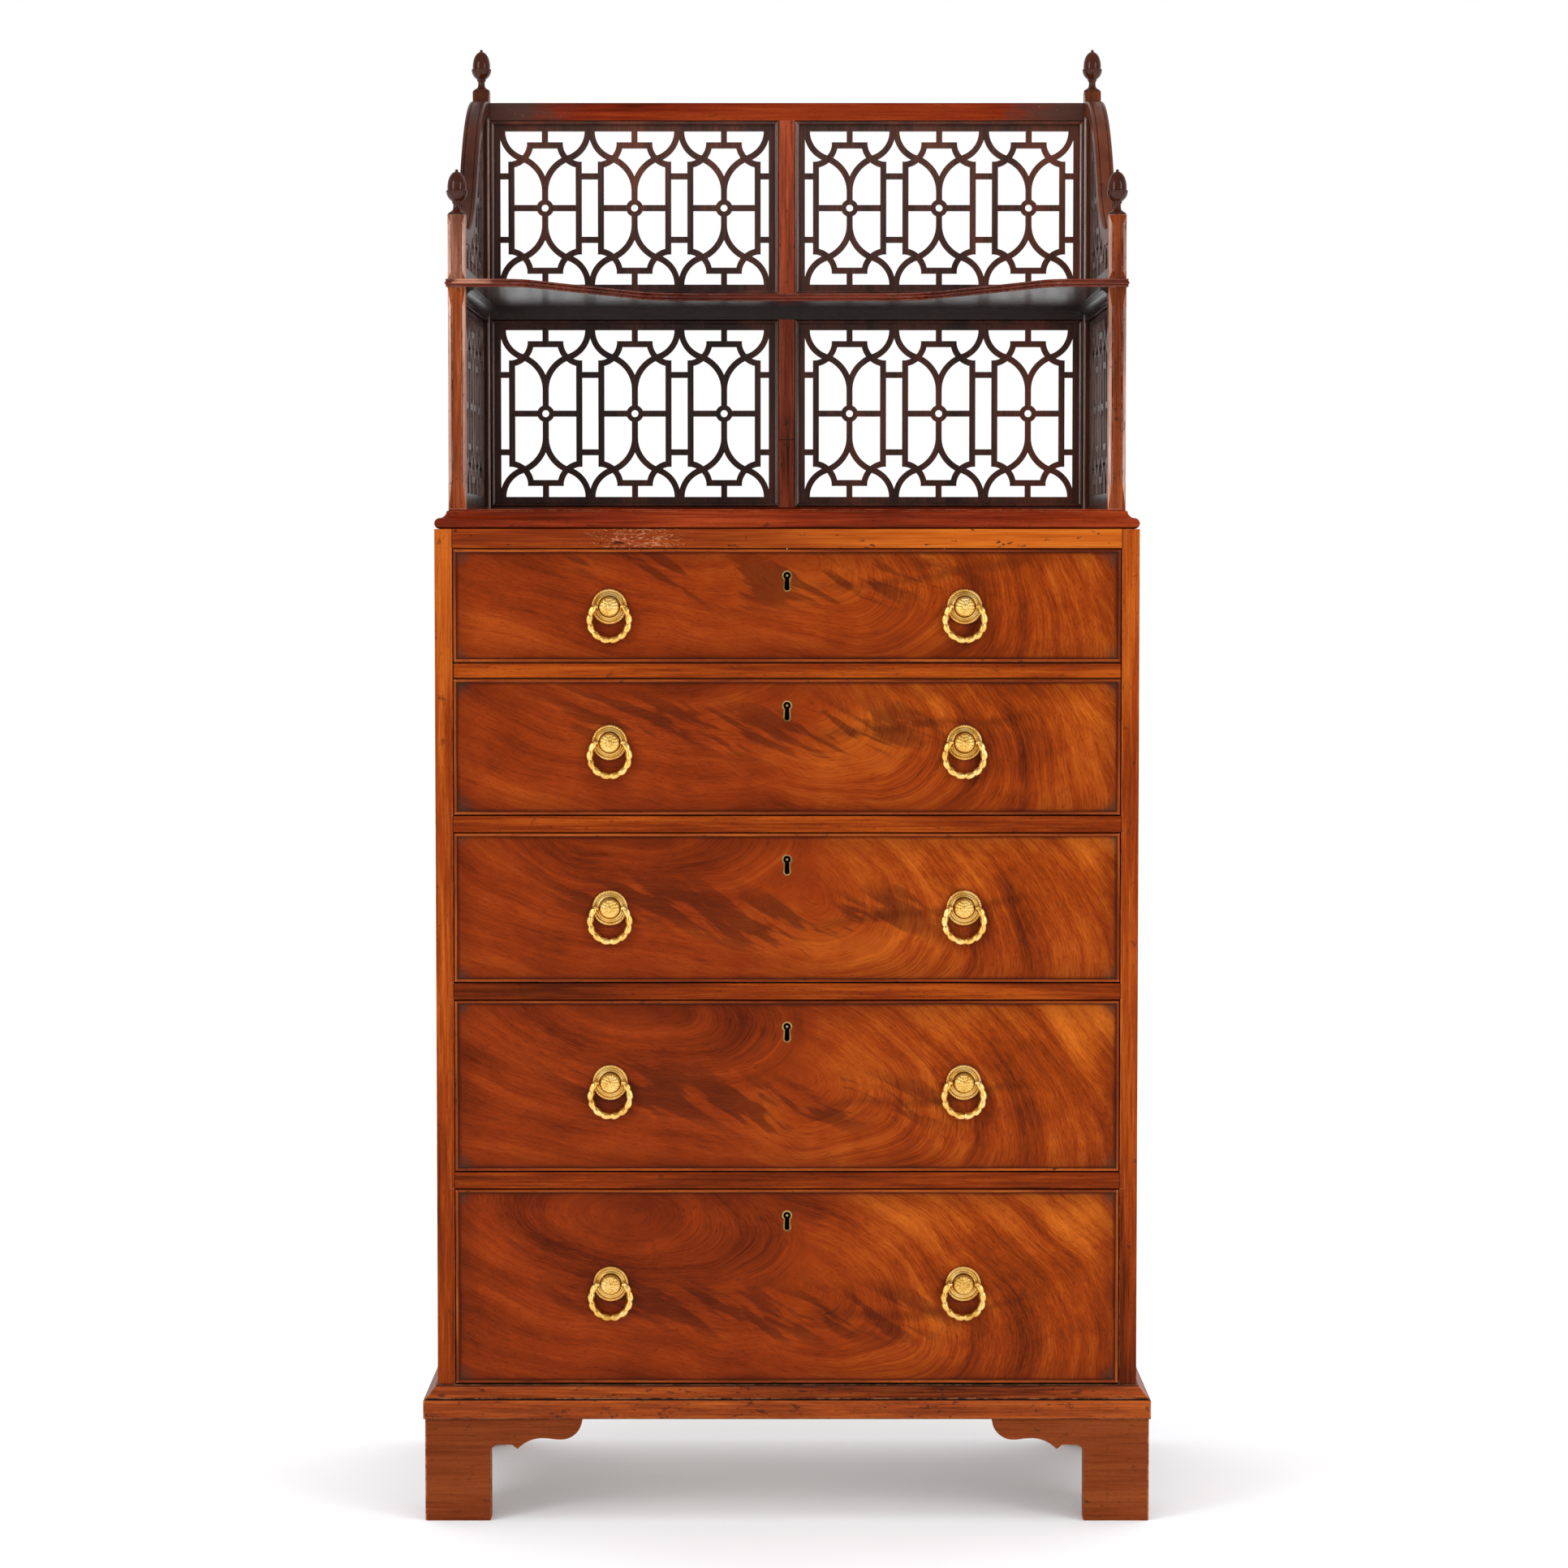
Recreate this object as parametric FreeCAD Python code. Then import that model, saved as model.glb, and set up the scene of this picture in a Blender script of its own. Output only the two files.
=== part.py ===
import FreeCAD, Part
import os
from math import atan2, cos, degrees, radians, sin, sqrt

# A secretaire chest in mahogany, in millimetres, +Z up, front towards -Y.
# Sizes along Y are counted from the front face of the carcase; the finished
# solids are moved so that the origin lies under the middle of the footprint.

V = FreeCAD.Vector
UP = V(0, 0, 1)

# Carcase
carcase_width = 762.0
carcase_depth = 420.0
side_thickness = 19.0
board_thickness = 18.0
back_thickness = 10.0
back_rabbet = 9.0
back_board_count = 4
back_board_gap = 0.5
housing_depth = 5.0
rail_height = 17.5
rail_depth = 60.0
top_rail_height = 20.5
dust_board_thickness = 10.0
secretaire_opening = 290.0
upper_drawer_opening = 164.5
middle_drawer_opening = 189.0
lower_drawer_opening = 215.0

# Base moulding and bracket feet
foot_height = 112.0
base_height = 35.5
base_projection = 15.0
base_band_height = 21.0
base_quirk = 1.4
base_lip = 2.4
base_hollow_out = 6.4
base_hollow_rise = 6.6
bracket_thickness = 20.0
foot_inset = 2.0
foot_toe_radius = 2.5
foot_leg_width = 71.5
foot_bracket_width = 171.0
foot_corner_radius = 8.5
foot_cusp_slope = 6.0
foot_cusp_drop = 5.0
foot_wave_width = 27.1
foot_wave_rise = 12.2
foot_crest_width = 20.4
foot_crest_rise = 1.6
foot_lobe_radius = 23.0
foot_block_size = 32.0
foot_block_clear = 6.0
rear_bracket_width = 110.0

# Drawer fronts and drawer boxes
front_thickness = 20.0
front_side_gap = 1.2
front_top_gap = 1.4
front_foot_gap = 1.6
bead_width = 3.0
bead_proud = 2.0
bead_depth = 7.5
mitre_gap = 0.1
runner_gap = 0.3
drawer_rear_gap = 12.0
drawer_side_thickness = 10.0
drawer_side_drop = 8.0
drawer_back_thickness = 9.0
drawer_back_drop = 6.0
drawer_bottom_thickness = 7.0
drawer_bottom_rise = 8.0
drawer_groove = 4.0
dovetail_count = 5
dovetail_length = 11.5
dovetail_pin = 4.5
dovetail_flare = 2.0
stop_length = 42.0
stop_depth = 18.0
stop_height = 4.0
stop_spread = 250.0

# Brass ring handles
handle_spread = 192.0
upper_dummy_handle_rise = -1.0
lower_dummy_handle_rise = 5.0
upper_handle_rise = 0.0
middle_handle_rise = 4.0
lower_handle_rise = 3.0
plate_radius = 19.3
plate_rim = 1.7
plate_floor = 1.8
plate_moulding_radius = 12.6
plate_moulding_half = 1.2
plate_moulding_rise = 1.6
boss_radius = 10.5
boss_wall = 11.0
boss_height = 14.5
ring_pivot_height = 8.0
ring_radius = 22.0
ring_drop = 15.0
ring_tube_radius = 3.2
ring_core_radius = 2.2
ring_husk_tip = 1.7
ring_husk_count = 10
ring_stub_radius = 2.5
ring_pin_radius = 1.5
ring_pin_length = 3.5
pin_clearance = 0.06
ring_side_gap = 0.5

# Keyholes and locks
keyhole_drop = 34.3
key_head_radius = 5.5
key_head_rise = 6.0
key_slot_half = 4.2
key_slot_drop = 11.5
key_lining = 1.5
key_depth = 3.6
key_pin_radius = 1.3
lock_width = 66.0
lock_height = 42.0
lock_depth = 9.0

# Secretaire drawer and its fall
false_rail_height = 15.0
false_rail_groove = 2.0
lower_dummy_height = 146.5
pivot_depth = 5.5
pivot_rise = 16.0
pivot_pin_radius = 2.0
pivot_pin_length = 12.0
pivot_arm_thickness = 3.0
pivot_arm_half = 3.0
pivot_arm_length = 50.0
pivot_plate_half = 7.0
pivot_clearance = 0.4
fall_heel_radius = 8.0
fall_swing_gap = 0.6
fall_seat_gap = 0.4
secretaire_side_thickness = 12.0
secretaire_side_front_height = 172.0
secretaire_side_full_start = 230.0
secretaire_side_low_end = 140.0
secretaire_side_top_gap = 8.0
secretaire_floor_thickness = 12.0
leather_thickness = 1.5
leather_border = 34.0
stay_radius = 130.0
stay_width = 10.0
stay_thickness = 3.0
stay_tail_angle = -4.0
stay_root_angle = 92.0
keeper_slot_angle = 45.0
stay_side_gap = 2.0
keeper_cheek = 2.0
keeper_front = 8.0
keeper_rear = 40.0
keeper_wall = 5.0
keeper_clear = 0.5

# Pigeonholes and letter drawers
case_depth = 183.0
case_wall = 8.0
case_top_gap = 4.0
letter_drawer_height = 62.0
letter_drawer_count = 4
letter_divider = 6.0
letter_shelf = 6.0
pigeonhole_count = 8
pigeonhole_divider = 4.0
valance_height = 26.0
valance_thickness = 4.0
valance_crown = 8.0
letter_gap = 0.5
letter_front_thickness = 8.0
letter_side_thickness = 5.0
letter_bottom_thickness = 4.0
letter_rear_gap = 4.0
knob_radius = 6.0
knob_neck_radius = 2.6
knob_neck_length = 6.0

# Gallery: base board, posts, shelf and finials
gallery_base_thickness = 21.6
gallery_nose = 12.0
gallery_cyma = 10.0
gallery_fillet = 2.0
post_size = 19.2
post_inset = 14.4
rear_post_inset = 2.0
post_bead_radius = 1.8
post_quirk = 0.8
post_quirk_depth = 2.2
rear_bead_radius = 1.25
lower_bead_foot = 27.0
lower_bead_head = 21.0
upper_bead_foot = 8.0
upper_bead_head = 10.0
lower_tier_height = 239.4
shelf_thickness = 8.8
shelf_overhang = 3.0
shelf_arm_width = 82.0
shelf_centre_setback = 253.0
shelf_slope_run = 137.0
shelf_corner_radius = 35.0
shelf_hollow_radius = 70.0
shelf_reed = 2.2
shelf_reed_inset = 0.8
shelf_reed_flat = 0.3
upper_post_height = 69.2
upper_tier_height = 229.8
rear_plinth_height = 13.1
cove_width = 11.0
cove_height = 17.0
cove_fillet = 2.0
cove_step = 1.2
cove_sag = 3.0

# Fretwork
fret_thickness = 6.0
fret_border = 12.0
fret_bead = 5.0
fret_member = 7.0
fret_units = 3
fret_ring_radius = 9.9
fret_ring_hole = 4.1
fret_bar_offset = 39.4
fret_cap_half = 17.4
fret_cap_drop = 16.3
fret_crossing_drop = 32.0
fret_bar_drop = 38.8
fret_link_drop = 52.3
fret_neck_drop = 69.6
fret_bowl_radius = 33.0
fret_apex_drop = 9.1
back_frame_thickness = 16.0
back_frame_set = 2.0
back_top_rail = 20.3
muntin_width = 18.4
tier_bottom_rail = 7.0
lower_tier_top_rail = 13.3
side_rail_thickness = 13.0
swept_rail_width = 17.0
swept_low_height = 56.7
swept_low_setback = 24.4
swept_low_radius = 170.0

# Finials
finial_height = 49.0
finial_disc_radius = 9.6
finial_disc_height = 3.0
finial_flare_rise = 2.2
finial_neck_radius = 4.4
finial_neck_rise = 9.4
finial_collar_radius = 5.6
finial_collar_rise = 12.6
finial_cup_radius = 11.2
finial_cup_rise = 25.0
finial_lip = 1.6
finial_lip_set = 0.6
finial_nut_radius = 9.8
finial_shoulder_radius = 8.6
finial_shoulder_rise = 37.6
finial_nut_rise = 45.6
finial_knob_radius = 2.9
finial_knob_neck = 2.1

# Levels and planes worked out from the sizes above
half_width = carcase_width / 2
half_opening = half_width - side_thickness
floor_level = foot_height + base_height
lower_top = floor_level + lower_drawer_opening
middle_floor = lower_top + rail_height
middle_top = middle_floor + middle_drawer_opening
upper_floor = middle_top + rail_height
upper_top = upper_floor + upper_drawer_opening
secretaire_floor = upper_top + rail_height
secretaire_top = secretaire_floor + secretaire_opening
carcase_top_level = secretaire_top + top_rail_height
gallery_floor = carcase_top_level + gallery_base_thickness
shelf_under = gallery_floor + lower_tier_height
shelf_top = shelf_under + shelf_thickness
front_post_top = shelf_top + upper_post_height
back_top = shelf_top + upper_tier_height
back_plane = carcase_depth - back_thickness
drawer_rear = back_plane - drawer_rear_gap
front_half = half_opening - front_side_gap
post_centre_x = half_width - post_inset - post_size / 2
post_outer_x = half_width - post_inset
post_inner_x = post_outer_x - post_size
front_post_back = post_inset + post_size
rear_post_back = carcase_depth - rear_post_inset
rear_post_front = rear_post_back - post_size
foot_outer = foot_inset - half_width - base_projection
foot_crest_level = foot_height - foot_lobe_radius + foot_crest_rise
foot_step_height = foot_crest_level - foot_wave_rise + foot_cusp_drop
origin_shift = (base_projection - carcase_depth) / 2

os.makedirs("parts", exist_ok=True)


def save(node, *solids):
    """Writes one node, moved to the finished frame."""
    shape = solids[0].copy() if len(solids) == 1 else Part.makeCompound([s.copy() for s in solids])
    shape.translate(V(0, origin_shift, 0))
    shape.exportStep("parts/" + node + ".step")


def board(x0, x1, y0, y1, z0, z1):
    return Part.makeBox(x1 - x0, y1 - y0, z1 - z0, V(x0, y0, z0))


def mirrored(shape):
    return shape.mirror(V(0, 0, 0), V(1, 0, 0))


def on_xz(y):
    return lambda u, v: V(u, y, v)


def on_yz(x):
    return lambda u, v: V(x, u, v)


def on_xy(z):
    return lambda u, v: V(u, v, z)


def is_arc(step):
    return isinstance(step[0], tuple)


def outline(path, place, splined=False):
    """Closed wire: each step is a point, or (middle, end) of an arc."""
    edges = []
    here = path[0]
    for step in list(path[1:]) + [path[0]]:
        end = step[1] if is_arc(step) else step
        if is_arc(step):
            arc = Part.Arc(place(*here), place(*step[0]), place(*end))
            edges.append((arc.toBSpline() if splined else arc).toShape())
        elif (place(*end) - place(*here)).Length > 1e-6:
            edges.append(Part.makeLine(place(*here), place(*end)))
        here = end
    return Part.Wire(edges)


def prism(path, place, along):
    return Part.Face(outline(path, place)).extrude(along)


def turned(path, centre, axis):
    """Revolves a half profile of (radius, height) points about an axis through centre."""
    side = V(1, 0, 0)
    place = lambda r, h: centre + side * r + axis * h
    solid = Part.Face(outline(path, place, splined=True)).revolve(centre, axis, 360)
    if solid.Volume < 0:
        solid.reverse()
    return solid


def flipped(path, su, sv):
    """The same path with its coordinates multiplied by two signs."""
    turn = lambda p: (p[0] * su, p[1] * sv)
    return [(turn(s[0]), turn(s[1])) if is_arc(s) else turn(s) for s in path]


def moved(path, du, dv):
    """The same path with its coordinates moved."""
    step = lambda p: (p[0] + du, p[1] + dv)
    return [(step(s[0]), step(s[1])) if is_arc(s) else step(s) for s in path]


def backwards(path):
    """The same open path, walked from its end."""
    points = [path[0]] + [s[1] if is_arc(s) else s for s in path[1:]]
    middles = [s[0] if is_arc(s) else None for s in path[1:]]
    back = [points[-1]]
    for end, middle in zip(points[-2::-1], middles[::-1]):
        back.append((middle, end) if middle else end)
    return back


def fused(solids):
    return solids[0].multiFuse(solids[1:]).removeSplitter()


def placed(shape, x, y, z):
    copy = shape.copy()
    copy.translate(V(x, y, z))
    return copy


def on_circle(centre, radius, angle):
    return (centre[0] + radius * cos(radians(angle)), centre[1] + radius * sin(radians(angle)))


def arc_band(centre, radius, start, end, width):
    """A strip of even width along an arc, as a path."""
    outer = radius + width / 2
    inner = radius - width / 2
    middle = (start + end) / 2
    return [on_circle(centre, outer, start),
            (on_circle(centre, outer, middle), on_circle(centre, outer, end)),
            on_circle(centre, inner, end),
            (on_circle(centre, inner, middle), on_circle(centre, inner, start))]


def circle_through(a, b, c):
    """Centre and radius of the circle through three points."""
    (ax, ay), (bx, by), (cx, cy) = a, b, c
    d = 2 * (ax * (by - cy) + bx * (cy - ay) + cx * (ay - by))
    x = ((ax**2 + ay**2) * (by - cy) + (bx**2 + by**2) * (cy - ay) + (cx**2 + cy**2) * (ay - by)) / d
    y = ((ax**2 + ay**2) * (cx - bx) + (bx**2 + by**2) * (ax - cx) + (cx**2 + cy**2) * (bx - ax)) / d
    return (x, y), sqrt((ax - x)**2 + (ay - y)**2)


def angle_of(centre, point):
    return degrees(atan2(point[1] - centre[1], point[0] - centre[0]))


def ogee(low, high, low_radius):
    """Two tangent arcs from a low point to a high one, level at both ends."""
    width = high[0] - low[0]
    rise = high[1] - low[1]
    total = (width**2 + rise**2) / (2 * rise)
    low_centre = (low[0], low[1] + low_radius)
    high_centre = (high[0], high[1] - (total - low_radius))
    turn = angle_of(low_centre, high_centre)
    joint = on_circle(low_centre, low_radius, turn)
    low_middle = on_circle(low_centre, low_radius, (turn - 90) / 2)
    high_middle = on_circle(high_centre, total - low_radius, (turn + 180 + 90) / 2)
    return [low, (low_middle, joint), (high_middle, high)]


def edge_moulded(path, half, front, back):
    """A board whose front and side edges carry one moulding, path in (outset, z)."""
    right = moved(path, half, 0)
    section = right + backwards(flipped(right, -1, 1))
    across = prism(section, on_xz(front - 2 * base_projection), V(0, back - front + 2 * base_projection, 0))
    face = moved(flipped(path, -1, 1), front, 0)
    reach = half + 2 * base_projection
    along = prism(face + [(back, path[-1][1]), (back, path[0][1])], on_yz(-reach), V(2 * reach, 0, 0))
    return across.common(along)


# Carcase sides, with housings for the rails and boards and a rabbet for the back

def rail_levels():
    """Floor of each drawer above a dividing rail."""
    return (middle_floor, upper_floor, secretaire_floor)


def carcase_side():
    side = board(half_opening, half_width, 0, carcase_depth, foot_height, carcase_top_level)
    cuts = [board(half_opening, half_opening + back_rabbet, back_plane, carcase_depth,
                  floor_level - board_thickness, carcase_top_level)]
    housed = half_opening + housing_depth
    cuts.append(board(half_opening, housed, 0, back_plane, floor_level - board_thickness, floor_level))
    for level in rail_levels():
        cuts.append(board(half_opening, housed, 0, rail_depth, level - rail_height, level))
        cuts.append(board(half_opening, housed, rail_depth, back_plane, level - dust_board_thickness, level))
    cuts.append(board(half_opening, housed, 0, rail_depth, secretaire_top, carcase_top_level))
    cuts.append(board(half_opening, housed, rail_depth, back_plane,
                      carcase_top_level - board_thickness, carcase_top_level))
    for cut in cuts:
        side = side.cut(cut)
    return side


right_side = carcase_side()
save("side_right", right_side)
save("side_left", mirrored(right_side))

housed_half = half_opening + housing_depth
save("carcase_bottom", board(-housed_half, housed_half, 0, back_plane,
                             floor_level - board_thickness, floor_level))
save("carcase_top", board(-housed_half, housed_half, rail_depth, back_plane,
                          carcase_top_level - board_thickness, carcase_top_level))
front_rails = [board(-housed_half, housed_half, 0, rail_depth, level - rail_height, level)
               for level in rail_levels()]
front_rails.append(board(-housed_half, housed_half, 0, rail_depth, secretaire_top, carcase_top_level))
save("front_rails", *front_rails)
save("dust_boards", *[board(-housed_half, housed_half, rail_depth, back_plane,
                            level - dust_board_thickness, level) for level in rail_levels()])


def back_boards():
    """Upright boards that fill the rabbets of the two sides."""
    half = half_opening + back_rabbet
    width = 2 * half / back_board_count
    boards = []
    for n in range(back_board_count):
        start = -half + n * width + (back_board_gap if n else 0)
        boards.append(board(start, -half + (n + 1) * width, back_plane, carcase_depth,
                            floor_level - board_thickness, carcase_top_level))
    return boards


save("carcase_back", *back_boards())


def drawer_stops():
    """Blocks behind each long front, and behind the secretaire drawer."""
    stops = []
    for level in (floor_level, middle_floor, upper_floor):
        for side in (-1, 1):
            x = side * stop_spread
            stops.append(board(x - stop_length / 2, x + stop_length / 2, front_thickness + runner_gap,
                               front_thickness + runner_gap + stop_depth, level, level + stop_height))
    for side in (-1, 1):
        x = side * stop_spread
        stops.append(board(x - stop_length / 2, x + stop_length / 2, drawer_rear + runner_gap, back_plane,
                           secretaire_floor, secretaire_floor + secretaire_floor_thickness))
    return stops


save("drawer_stops", *drawer_stops())


# Base moulding in three mitred lengths

def base_moulding():
    """Front and side lengths: a flat band, a quirk and a hollow running up to the carcase."""
    out = base_projection
    band_top = foot_height + base_band_height
    shoulder = out - base_quirk
    quirk_top = band_top + base_quirk
    hollow = (base_hollow_out, quirk_top + base_hollow_rise)
    path = [(0, foot_height), (out, foot_height), (out, band_top - base_quirk),
            (on_circle((shoulder, band_top - base_quirk), base_quirk, 45), (shoulder, band_top)),
            (shoulder - base_quirk, band_top), (shoulder - base_quirk, quirk_top - base_quirk / 2),
            (shoulder, quirk_top - base_quirk / 2), (shoulder, quirk_top),
            (hollow, (base_lip, floor_level - base_quirk)), (base_lip, floor_level), (0, floor_level)]
    end = half_width + out
    front = prism(flipped(path, -1, 1), on_yz(-end), V(2 * end, 0, 0))
    front = front.common(prism([(-end, -out), (end, -out), (half_width, 0), (-half_width, 0)],
                               on_xy(foot_height), UP * base_height))
    right = prism(moved(path, half_width, 0), on_xz(-out), V(0, carcase_depth + out, 0))
    right = right.common(prism([(half_width, 0), (end, -out), (end, carcase_depth),
                                (half_width, carcase_depth)], on_xy(foot_height), UP * base_height))
    return front, mirrored(right), right


save("base_moulding", *base_moulding())


# Bracket feet: shaped front and side faces mitred at the corner, and a corner block

def bracket_outline():
    """Outer edge of a bracket, from its bottom corner inwards and back along the top."""
    toe = foot_toe_radius
    lobe_centre = (foot_bracket_width - foot_lobe_radius, foot_height)
    lobe = (lobe_centre[0], foot_height - foot_lobe_radius)
    crest = (lobe[0] - foot_crest_width, lobe[1] + foot_crest_rise)
    cusp = (crest[0] - foot_wave_width, crest[1] - foot_wave_rise)
    wave_radius = (foot_wave_width**2 + foot_wave_rise**2) / (2 * foot_wave_rise)
    wave_centre = (crest[0], crest[1] - wave_radius)
    wave_middle = on_circle(wave_centre, wave_radius, (angle_of(wave_centre, cusp) + 90) / 2)
    fall = ogee((-lobe[0], lobe[1]), (-crest[0], crest[1]), foot_crest_width * 3)
    step = foot_step_height
    step_x = foot_leg_width + foot_corner_radius
    corner = on_circle((step_x, step - foot_corner_radius), foot_corner_radius, 135)
    leg = [(0, toe), (on_circle((toe, toe), toe, -135), (toe, 0)), (foot_leg_width - toe, 0),
           (on_circle((foot_leg_width - toe, toe), toe, -45), (foot_leg_width, toe)),
           (foot_leg_width, step - foot_corner_radius), (corner, (step_x, step)),
           (cusp[0] - foot_cusp_slope, step), cusp, (wave_middle, crest)]
    lobe_end = (on_circle(lobe_centre, foot_lobe_radius, -45), (foot_bracket_width, foot_height))
    return leg + backwards(flipped(fall, -1, 1))[1:] + [lobe_end, (0, foot_height)]


def front_foot():
    """Left front foot: front bracket, side bracket and glue block."""
    x0 = foot_outer
    y0 = foot_inset - base_projection
    shape = prism(moved(bracket_outline(), x0, 0), on_xz(y0), V(0, bracket_thickness, 0))
    corner = V(x0, y0, 0)
    reach = foot_bracket_width * 2
    keep = prism([(x0, y0), (x0 + reach, y0), (x0 + reach, y0 + reach)], on_xy(0), UP * foot_height)
    front = shape.common(keep)
    side = front.mirror(corner, V(1, -1, 0))
    inner = bracket_thickness
    block = board(x0 + inner, x0 + inner + foot_block_size, y0 + inner, y0 + inner + foot_block_size,
                  foot_block_clear, foot_height)
    return front, side, block


def rear_foot():
    """Left rear foot: shaped side bracket, plain back bracket and glue block."""
    x0 = foot_outer
    y1 = carcase_depth
    side = prism(moved(flipped(bracket_outline(), -1, 1), y1, 0), on_yz(x0), V(bracket_thickness, 0, 0))
    inner = x0 + bracket_thickness
    back = prism([(inner, 0), (inner + foot_leg_width - bracket_thickness, 0),
                  (inner + foot_leg_width - bracket_thickness, foot_step_height),
                  (x0 + rear_bracket_width, foot_height), (inner, foot_height)],
                 on_xz(y1 - bracket_thickness), V(0, bracket_thickness, 0))
    block = board(inner, inner + foot_block_size, y1 - bracket_thickness - foot_block_size,
                  y1 - bracket_thickness, foot_block_clear, foot_height)
    return side, back, block


save("foot_front_left", *front_foot())
save("foot_front_right", *[mirrored(s) for s in front_foot()])
save("foot_rear_left", *rear_foot())
save("foot_rear_right", *[mirrored(s) for s in rear_foot()])


# Cockbeads, keyholes, handles and locks shared by all the fronts

def bead_frame(x0, x1, z0, z1, width, proud, depth):
    """Four mitred strips inside a rectangle, reaching depth behind the plane y = 0, with rounded noses."""
    nose = width / 2
    flat = proud - nose

    def strip(low, place, along):
        return prism([(depth, low), (depth, low + width), (-flat, low + width),
                      ((-proud, low + nose), (-flat, low))], place, along)

    def mitre(path):
        return prism(path, on_xz(-proud), V(0, depth + proud, 0))

    w = width
    g = mitre_gap
    level = lambda z: strip(z, on_yz(x0), V(x1 - x0, 0, 0))
    upright = lambda x: strip(x, lambda y, u: V(u, y, z0), UP * (z1 - z0))
    return [level(z0).common(mitre([(x0 + g, z0), (x1 - g, z0), (x1 - w - g, z0 + w), (x0 + w + g, z0 + w)])),
            level(z1 - w).common(mitre([(x0 + g, z1), (x1 - g, z1), (x1 - w - g, z1 - w),
                                        (x0 + w + g, z1 - w)])),
            upright(x0).common(mitre([(x0, z0), (x0, z1), (x0 + w, z1 - w), (x0 + w, z0 + w)])),
            upright(x1 - w).common(mitre([(x1, z0), (x1, z1), (x1 - w, z1 - w), (x1 - w, z0 + w)]))]


def cockbeads(x0, x1, z0, z1):
    """The beads round a front, let in behind its face and standing proud of it."""
    return bead_frame(x0, x1, z0, z1, bead_width, bead_proud, bead_depth)


def bead_rabbet(x0, x1, z0, z1):
    """Room for one frame of cockbeads, as a ring to be cut out of a front."""
    w = bead_width
    ring = board(x0, x1, 0, bead_depth, z0, z1)
    return ring.cut(board(x0 + w, x1 - w, 0, bead_depth, z0 + w, z1 - w))


def keyhole(centre_z, shrink):
    """Keyhole outline on the middle line, made smaller by shrink all round."""
    head = key_head_radius - shrink
    slot = key_slot_half - shrink
    rise = centre_z + key_head_rise
    join = rise - sqrt(max(head**2 - (slot * 0.86)**2, 0))
    foot = centre_z - key_slot_drop + shrink
    return [(-slot * 0.86, join), ((0, rise + head), (slot * 0.86, join)), (slot, foot + slot),
            ((0, foot), (-slot, foot + slot))]


def escutcheon(centre_z):
    """Brass keyhole lining and the pin of the lock inside it."""
    lining = prism(keyhole(centre_z, 0), on_xz(0), V(0, key_depth, 0))
    hole = prism(keyhole(centre_z, key_lining), on_xz(0), V(0, key_depth, 0))
    pin = Part.makeCylinder(key_pin_radius, key_depth, V(0, 0, centre_z + key_head_rise), V(0, 1, 0))
    return [lining.cut(hole), pin]


def keyhole_pocket(centre_z):
    return prism(keyhole(centre_z, 0), on_xz(0), V(0, key_depth, 0))


def lock_case(top):
    """Lock let into the back of a front, flush with its top edge."""
    return board(-lock_width / 2, lock_width / 2, front_thickness - lock_depth, front_thickness,
                 top - lock_height, top - bead_width)


def handle_mount():
    """Round plate with a rolled rim, a raised moulding and a domed boss that carries the ring's pivots."""
    rim_centre = plate_radius - plate_rim
    path = [(0, 0), (plate_radius, 0), (plate_radius, plate_rim),
            ((rim_centre, 2 * plate_rim), (rim_centre - plate_rim, plate_rim)),
            (plate_moulding_radius + plate_moulding_half, plate_floor),
            ((plate_moulding_radius, plate_floor + plate_moulding_rise),
             (plate_moulding_radius - plate_moulding_half, plate_floor)),
            (boss_radius, plate_floor), (boss_radius, boss_wall),
            ((boss_radius * 0.72, boss_height - (boss_height - boss_wall) * 0.3), (0, boss_height))]
    mount = turned(path, V(0, 0, 0), V(0, -1, 0))
    hole_bottom = boss_radius - ring_pin_length - ring_side_gap
    for side in (-1, 1):
        mount = mount.cut(Part.makeCylinder(ring_pin_radius + pin_clearance, boss_radius,
                                            V(side * hole_bottom, -ring_pivot_height, 0), V(side, 0, 0)))
    return mount


def handle_ring():
    """Open ring of husks whose two ends turn in to pins in the boss, hanging straight down."""
    y = -ring_pivot_height
    centre = V(0, y, -ring_drop)
    reach = sqrt(ring_radius**2 - ring_drop**2)
    start = degrees(atan2(ring_drop, reach))
    sweep = 180 + 2 * start
    section = Part.Face(Part.Wire(Part.makeCircle(ring_core_radius, V(reach, y, 0), V(-ring_drop, 0, reach))))
    pieces = [section.revolve(centre, V(0, 1, 0), sweep)]
    half = ring_radius * sin(radians(sweep / ring_husk_count / 2))
    husk = turned([(0, -half), (ring_husk_tip, -half), ((ring_tube_radius, 0), (ring_husk_tip, half)),
                   (0, half)], V(0, 0, 0), UP)
    for n in range(ring_husk_count):
        angle = start - sweep * (n + 0.5) / ring_husk_count
        copy = husk.copy()
        copy.rotate(V(0, 0, 0), V(0, 1, 0), -angle)
        u, v = on_circle((0, -ring_drop), ring_radius, angle)
        pieces.append(placed(copy, u, y, v))
    stub_end = boss_radius + ring_side_gap
    pin_end = boss_radius - ring_pin_length
    for side in (-1, 1):
        out = V(side, 0, 0)
        pieces.append(Part.makeSphere(ring_tube_radius, V(side * reach, y, 0)))
        pieces.append(Part.makeCylinder(ring_stub_radius, reach - stub_end, V(side * stub_end, y, 0), out))
        pieces.append(Part.makeCylinder(ring_pin_radius, reach - pin_end, V(side * pin_end, y, 0), out))
    return fused(pieces)


mount_shape = handle_mount()
ring_shape = handle_ring()


def handle_mounts(z):
    """The pair of mounts on one front."""
    return [placed(mount_shape, side * handle_spread, 0, z) for side in (-1, 1)]


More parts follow.
